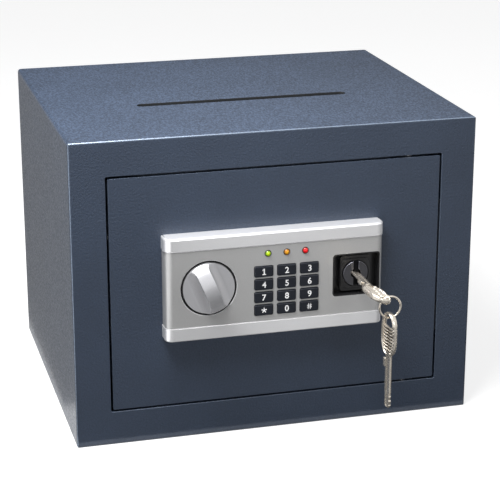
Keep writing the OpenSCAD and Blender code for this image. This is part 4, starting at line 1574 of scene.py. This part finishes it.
@dataclass
class KeyBlank:
    """A cast key, drawn in its own frame: x across the bow, y from bow to tip, z through it.

    Attributes:
        bow_width: Width of the bow.
        bow_length: Length of the bow.
        rim: Width of the bow's rim.
        bow_depth: Thickness of the bow.
        fullness: How square the bow's oval is, 2 for a plain one.
        ribbed_share: Share of the rim's width that its ribbed side has.
        smooth_share: Share of it that the other side has.
        rib_start: Place of the first rib across the bow.
        rib_pitch: Spacing of the ribs.
        rib_sag: How far a rib's ends lie behind its middle.
        rib_radius: Mean radius of a rib.
        rib_swing: How far that radius varies along it.
        web_depth: Thickness of the plate behind the ribs, dark as painted shade between them.
        blade_root: How far the blade starts inside the bow.
        blade_length: Length of the blade past the bow.
        blade_width: Width of the blade.
        blade_depth: Thickness of the blade.
        blade_cuts: Faces along the blade.
        notch_pitch: Spacing of the notches, and of the first one from the tip.
        notch_depth: Depth of the notches but the first.
        lug_size: Size of the lug beside the blade.
        lug_out: How far the lug stands out past the blade's side.
        lug_past: How far past the bow it starts.
        collar_root: How far inside the bow the boss at the blade's root starts.
        collar_size: Length of that boss, and half its width and depth.
        collar_taper: How far these two shrink along it.
    """

    bow_width: float = 21 * MM
    bow_length: float = 38 * MM
    rim: float = 3 * MM
    bow_depth: float = 4.5 * MM
    fullness: float = 2.5
    ribbed_share: float = 1.05
    smooth_share: float = 0.75
    rib_start: float = -5.5 * MM
    rib_pitch: float = 2.7 * MM
    rib_sag: float = 0.9 * MM
    rib_radius: float = 0.8 * MM
    rib_swing: float = 0.25 * MM
    web_depth: float = 0.7 * MM
    blade_root: float = 2.5 * MM
    blade_length: float = 46 * MM
    blade_width: float = 8 * MM
    blade_depth: float = 2.2 * MM
    blade_cuts: int = 92
    notch_pitch: float = 4 * MM
    notch_depth: float = 1.1 * MM
    lug_size: Triple = (3.4 * MM, 7.6 * MM, 3.2 * MM)
    lug_out: float = 2.6 * MM
    lug_past: float = 3 * MM
    collar_root: float = 3.4 * MM
    collar_size: Triple = (5.2 * MM, 4.6 * MM, 2.0 * MM)
    collar_taper: Pair = (1.2 * MM, 1.0 * MM)

    @property
    def rim_half(self) -> float:
        """Half the oval's width, at the rim's middle."""
        return (self.bow_width - self.rim) / 2

    @property
    def rim_end(self) -> float:
        """Half the oval's length, at the rim's middle."""
        return (self.bow_length - self.rim) / 2

    def rim_reach(self, along: float) -> float:
        """Returns how far the rim's middle lies from the bow's, at a place along the bow."""
        share = min(1.0, abs(along) / self.rim_end)
        return self.rim_half * (1 - share ** self.fullness) ** (1 / self.fullness)

    def rim_path(self) -> list[tuple[Vector, Vector]]:
        """Works out the middle of the rim, a full oval.

        Returns:
            Its points, each with its outward direction.
        """
        path = []
        for pair in around(144, 0.5):
            across, along = (math.copysign(abs(x) ** (2 / self.fullness), x) for x in pair)
            out = Vector((
                math.copysign(abs(across) ** (self.fullness - 1), across) / self.rim_half,
                math.copysign(abs(along) ** (self.fullness - 1), along) / self.rim_end,
                0,
            ))
            spot = Vector((self.rim_half * across, self.rim_end * along, 0))
            path.append((spot, out.normalized()))
        return path

    def bow(self) -> Mesh:
        """Makes the rim, smooth on one side and ribbed on the other.

        Returns:
            The rim's skin.
        """
        rings = []
        for spot, out in self.rim_path():
            ribbed = spot.x > -1 * MM and spot.y > self.rib_start - 3 * MM
            wave = math.cos(2 * math.pi * (spot.y - self.rib_start) / self.rib_pitch)
            swell = 0.86 + 0.2 * wave if ribbed else 1.0
            wide = self.rim / 2 * (self.ribbed_share if ribbed else self.smooth_share) * swell
            deep = Vector((0, 0, self.bow_depth / 2 * swell))
            middle = spot + out * (self.rim / 2 - wide)
            rings.append([middle + out * wide * cos + deep * sin for cos, sin in around(14)])
        return lofted(rings, closed=True)

    def ribs(self) -> Mesh:
        """Makes the round ribs across the bow, each thinner at its ends and its middle.

        Returns:
            The ribs' skins.
        """
        ribs = bmesh.new()
        place = self.rib_start
        while place < self.bow_length / 2 - self.rim:
            reach = self.rim_reach(place)
            rings = []
            for across in between(-reach, reach, 12):
                wave = math.cos(2 * math.pi * (across / reach + 1))
                thick = self.rib_radius - self.rib_swing * wave
                spot = Vector((across, place - self.rib_sag * (across / self.rim_half) ** 2, 0))
                rings.append(
                    [spot + Vector((0, thick * cos, 1.9 * thick * sin)) for cos, sin in around(10)]
                )
            merge(ribs, lofted(rings))
            place += self.rib_pitch
        return ribs

    def web(self) -> Mesh:
        """Makes the plate behind the ribs, dark as painted shade in the gaps between them.

        Returns:
            A thin plate between the ribbed sides of the rim.
        """
        deep = self.web_depth / 2
        rings = []
        for along in between(self.rib_start, self.rim_end - SKIM, 24):
            reach = self.rim_reach(along)
            corners = ((-reach, -deep), (reach, -deep), (reach, deep), (-reach, deep))
            rings.append([Vector((across, along, through)) for across, through in corners])
        return lofted(rings)

    def blade(self) -> Mesh:
        """Makes the grooved blade with its notches and rounded tip.

        Returns:
            The blade's skin.
        """
        start = self.bow_length / 2 - self.blade_root
        tip = self.bow_length / 2 + self.blade_length
        round_length, thin_length = 3 * MM, 1.2 * MM
        rings = []
        for along in between(start, tip, self.blade_cuts):
            left = tip - along
            narrow = 1.0
            if left < round_length:
                share = max(left, 0.05 * MM) / round_length
                narrow = 0.45 + 0.55 * math.sin(math.pi / 2 * share)
            thin = min(1.0, 0.5 + 0.5 * left / thin_length)
            limit = self.blade_width / 2 * narrow - self.notch(left)
            rings.append([
                Vector((max(-limit, min(limit, across * narrow)), along, deep * thin))
                for across, deep in self.section()
            ])
        return lofted(rings)

    def notch(self, left: float) -> float:
        """Works out how deep the blade is notched.

        Args:
            left: Distance from the blade's tip.

        Returns:
            The depth there.
        """
        half_foot, slope = 1.5 * MM, 0.6 * MM
        away = min(abs(left - self.notch_pitch * number) for number in (1, 2, 3))
        depth = self.notch_depth * min(1.0, max(0.0, (half_foot - away) / slope))
        return depth * 0.6 if left < 5 * MM else depth

    def section(self) -> list[Pair]:
        """Works out the blade's section, with a groove along each face.

        Returns:
            Places across and through the blade, in order round it.
        """
        half = self.blade_width / 2
        deep = self.blade_depth / 2
        bevel, groove = 0.35 * MM, 0.45 * deep
        upper = [
            (half, 0.35 * deep), (half - bevel, deep), (1.9 * MM, deep), (1.5 * MM, groove),
            (0.1 * MM, groove), (-0.3 * MM, deep), (bevel - half, deep), (-half, 0.35 * deep),
        ]
        return upper + [(-across, -through) for across, through in upper]

    def lug(self) -> Mesh:
        """Makes the small lug beside the blade.

        Returns:
            The lug's skin.
        """
        block = bmesh.new()
        bmesh.ops.create_cube(block, size=1.0)
        size = Vector(self.lug_size)
        start = self.bow_length / 2 + self.lug_past
        low = Vector((-self.blade_width / 2 - self.lug_out, start, -size.z / 2))
        fit = Matrix.Translation(low + size / 2) @ Matrix.Diagonal((*size, 1.0))
        bmesh.ops.transform(block, matrix=fit, verts=block.verts)
        round_edges(block, 0.45 * MM, 3)
        return block

    def collar(self) -> Mesh:
        """Makes the boss where the blade leaves the bow, tapering towards the tip.

        Returns:
            The boss's skin.
        """
        length, half_width, half_depth = self.collar_size
        start = self.bow_length / 2 - self.collar_root
        rings = []
        for share in between(0.0, 1.0, 8):
            along = start + length * share
            wide = half_width - self.collar_taper[0] * share ** 2
            deep = half_depth - self.collar_taper[1] * share ** 2
            rings.append([Vector((wide * cos, along, deep * sin)) for cos, sin in around(20)])
        return lofted(rings)

    def skin(self) -> Mesh:
        """Puts the key's parts together.

        Returns:
            The whole key, with the plate behind the ribs, in painted shade, as its second material.
        """
        key = self.bow()
        for part in (self.ribs(), self.blade(), self.lug(), self.collar()):
            merge(key, part)
        merge(key, self.web(), material=1)
        return key


@dataclass
class Keys(SubAssembly):
    """The key in the lock, the ring through its bow and the spare key.

    Attributes:
        tilt: Turn of the first key about its blade, in degrees.
        twist: Turn of the hanging key about the upright, in degrees.
        wire: Radius of the ring's wire.
        blank: The form of both keys.
    """

    tilt: float = 20.0
    twist: float = -80.0
    wire: float = 0.9 * MM
    blank: KeyBlank = field(default_factory=KeyBlank)

    def own(self) -> list[Piece]:
        """Makes the keys and the ring.

        Returns:
            The pieces.
        """
        half = self.blank.bow_length / 2
        bow = centre_of("lock_plug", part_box("key_in_lock")[0].y + half)
        tilted = Matrix.Rotation(math.radians(self.tilt), 4, "Y")
        hung = centre_of("key_ring")
        hung.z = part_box("spare_key")[1].z - half
        twisted = Matrix.Rotation(math.radians(self.twist), 4, "Z")
        down = Matrix.Rotation(-math.pi / 2, 4, "X")
        return [
            self.key("key_in_lock", Matrix.Translation(bow) @ tilted),
            self.ring(),
            self.key("spare_key", Matrix.Translation(hung) @ twisted @ down),
        ]

    def key(self, node: str, put: Matrix) -> Piece:
        """Makes one key in its place.

        Args:
            node: The key's node.
            put: Where it goes.

        Returns:
            The piece.
        """
        skin = self.blank.skin()
        bmesh.ops.transform(skin, matrix=put, verts=skin.verts)
        # the second finish paints shade on the plate between the ribs
        return stand_in(node, skin, finish_of(node), RIB_GAP_SHADE)

    def ring(self) -> Piece:
        """Makes and returns the ring of wire."""
        radius = radius_of("key_ring") - self.wire
        section = [(radius + self.wire * cos, -self.wire * sin) for cos, sin in around(12)]
        return stand_in("key_ring", hoop(centre_of("key_ring"), section, 96))


@dataclass
class Studio(SubAssembly):
    """Floor, white surroundings, lamps and camera.

    Attributes:
        camera_at: The camera's place.
        camera_down: How far it looks down, in degrees.
        camera_turn: How far it looks to the right, in degrees.
        lens: Its focal length in millimetres.
        around: Strength of the light from all round.
        floor_reach: Distance from the object to the floor's edges.
        floor_glow: How much light the floor adds where it is seen.
        aim: The point that the lamps face.
        cards: Two corners of each grey card, and how light it looks in a mirror.
        lamps: Place, width and height, and power in watts of each lamp.
    """

    camera_at: Triple = (-0.3753, -1.4451, 0.61205)
    camera_down: float = 18.394
    camera_turn: float = 15.115
    lens: float = 122.24
    around: float = 0.22
    floor_reach: float = 6.0
    floor_glow: float = 0.78
    aim: Triple = (0.0, 0.0, 0.13)
    cards: dict[str, tuple[Triple, Triple, float]] = field(
        default_factory=lambda: {
            "card_near": ((-0.28, -0.3, 0.004), (1.4, -0.146, 0.004), 0.03),
            "card_left": ((-0.28, -2.2, 0.004), (0.03, -0.3, 0.004), 0.03),
            "card_right": ((0.03, -2.2, 0.004), (1.4, -0.3, 0.004), 0.4),
            "card_behind": ((-1.6, 1.3, 0.27), (2.6, 1.3, 2.4), 0.1),
            "card_beside": ((-1.8, -0.06, 0.004), (-0.18, 2.4, 0.004), 0.42),
        }
    )
    lamps: dict[str, tuple[Triple, Pair, float]] = field(
        default_factory=lambda: {
            "top light": ((-0.14, -0.12, 0.72), (0.3, 0.16), 3.4),
            "key light": ((-0.36, -0.36, 0.9), (0.6, 0.35), 14.4),
            "front light": ((0.42, -2.1, 0.85), (0.5, 0.3), 4.4),
            "back light": ((0.35, 1.2, 0.85), (1.7, 0.3), 0.8),
        }
    )

    def own(self) -> list[Piece]:
        """Makes the studio.

        Returns:
            The floor, the cards and the lamps.
        """
        self.camera()
        self.surroundings()
        return [
            self.floor(),
            *(self.grey_card(name, *card) for name, card in self.cards.items()),
            *(self.lamp(name, *lamp) for name, lamp in self.lamps.items()),
        ]

    def camera(self) -> None:
        """Places the camera at the photograph's viewing angle."""
        data = bpy.data.cameras.new("camera")
        data.lens = self.lens
        data.sensor_width = 36.0
        data.clip_start = 0.05
        camera = bpy.data.objects.new("camera", data)
        camera.location = self.camera_at
        camera.rotation_euler = (
            math.radians(90 - self.camera_down), 0.0, -math.radians(self.camera_turn),
        )
        bpy.context.scene.collection.objects.link(camera)
        bpy.context.scene.camera = camera

    def surroundings(self) -> None:
        """Sets a world that is white to look at and softer as a light."""
        world = bpy.data.worlds.new("surroundings")
        world.use_nodes = True
        bpy.context.scene.world = world
        board = NodeBoard(world.node_tree)
        output = board.add("OutputWorld")
        seen = board.add("Background", {"Color": WHITE})
        lit = board.add("Background", {"Color": (0.97, 0.985, 1.0), "Strength": self.around})
        mix = board.add("MixShader", {1: lit.outputs[0], 2: seen.outputs[0]})
        board.feed(mix.inputs[0], board.direct_rays())
        board.feed(output.inputs["Surface"], mix.outputs[0])

    def floor(self) -> Piece:
        """Makes the pale floor, which looks lighter than it lights.

        Returns:
            The floor.
        """
        slab = bmesh.new()
        bmesh.ops.create_grid(slab, x_segments=8, y_segments=8, size=self.floor_reach)
        board = MaterialBoard("floor_paper")
        grain = board.noise(3 * MM)
        board.set(
            Base_Color=board.tones(grain, WHITE, dark=0.4, light=0.43),
            Roughness=0.85,
            Specular_IOR_Level=0.2,
        )
        glow = board.add("Emission")
        both = board.add("AddShader", {0: board.shader.outputs[0], 1: glow.outputs[0]})
        strength = board.span(board.direct_rays(), 0.0, self.floor_glow, start=0.0, end=1.0)
        board.feed(glow.inputs["Strength"], strength)
        board.feed(board.output.inputs["Surface"], both.outputs[0])
        floor = make_object("floor", slab, [board.material])
        return floor

    def grey_card(self, name: str, low: Triple, high: Triple, glow: float) -> Piece:
        """Sets up a grey card, which only mirrored rays meet.

        Args:
            name: The card's name.
            low: Its lowest corner.
            high: Its opposite corner.
            glow: How light it looks in a mirror.

        Returns:
            The card.
        """
        sheet = bmesh.new()
        right, left = (high[0], *low[1:]), (low[0], *high[1:])
        sheet.faces.new([sheet.verts.new(at) for at in (low, right, high, left)])
        board = MaterialBoard(name)
        fibre = board.noise(2 * MM)
        board.set(
            Base_Color=(0.02, 0.02, 0.02),
            Roughness=0.9,
            Emission_Color=board.tones(fibre, WHITE, dark=0.95, light=1.0),
            Emission_Strength=glow,
        )
        card = make_object(name, sheet, [board.material])
        for ray in ("camera", "diffuse", "transmission", "shadow", "volume_scatter"):
            setattr(card, "visible_" + ray, False)
        return card

    def lamp(self, name: str, at: Triple, size: Pair, power: float) -> Piece:
        """Hangs a soft lamp that points at the object.

        Args:
            name: The lamp's name.
            at: Its place.
            size: Its width and height.
            power: Its power in watts.

        Returns:
            The lamp.
        """
        data = bpy.data.lights.new(name, "AREA")
        data.shape = "RECTANGLE"
        data.size, data.size_y = size
        data.energy = power
        lamp = bpy.data.objects.new(name, data)
        lamp.location = at
        way = Vector(self.aim) - Vector(at)
        lamp.rotation_euler = way.to_track_quat("-Z", "Y").to_euler()
        bpy.context.scene.collection.objects.link(lamp)
        return lamp


def main() -> None:
    """Builds the studio and the object, and reports each piece."""
    logging.basicConfig(level=logging.INFO, format="%(name)s: %(message)s")
    bpy.context.scene.view_settings.view_transform = "Standard"
    kinds = (Studio, Cabinet, Door, BoltWork, LockPanel, Keypad, Knob, Keys, BatteryBay)
    for kind in kinds:
        for piece in kind().build():
            LOG.info("%s made %s", kind.__name__, piece.name)


if __name__ == "__main__":
    main()
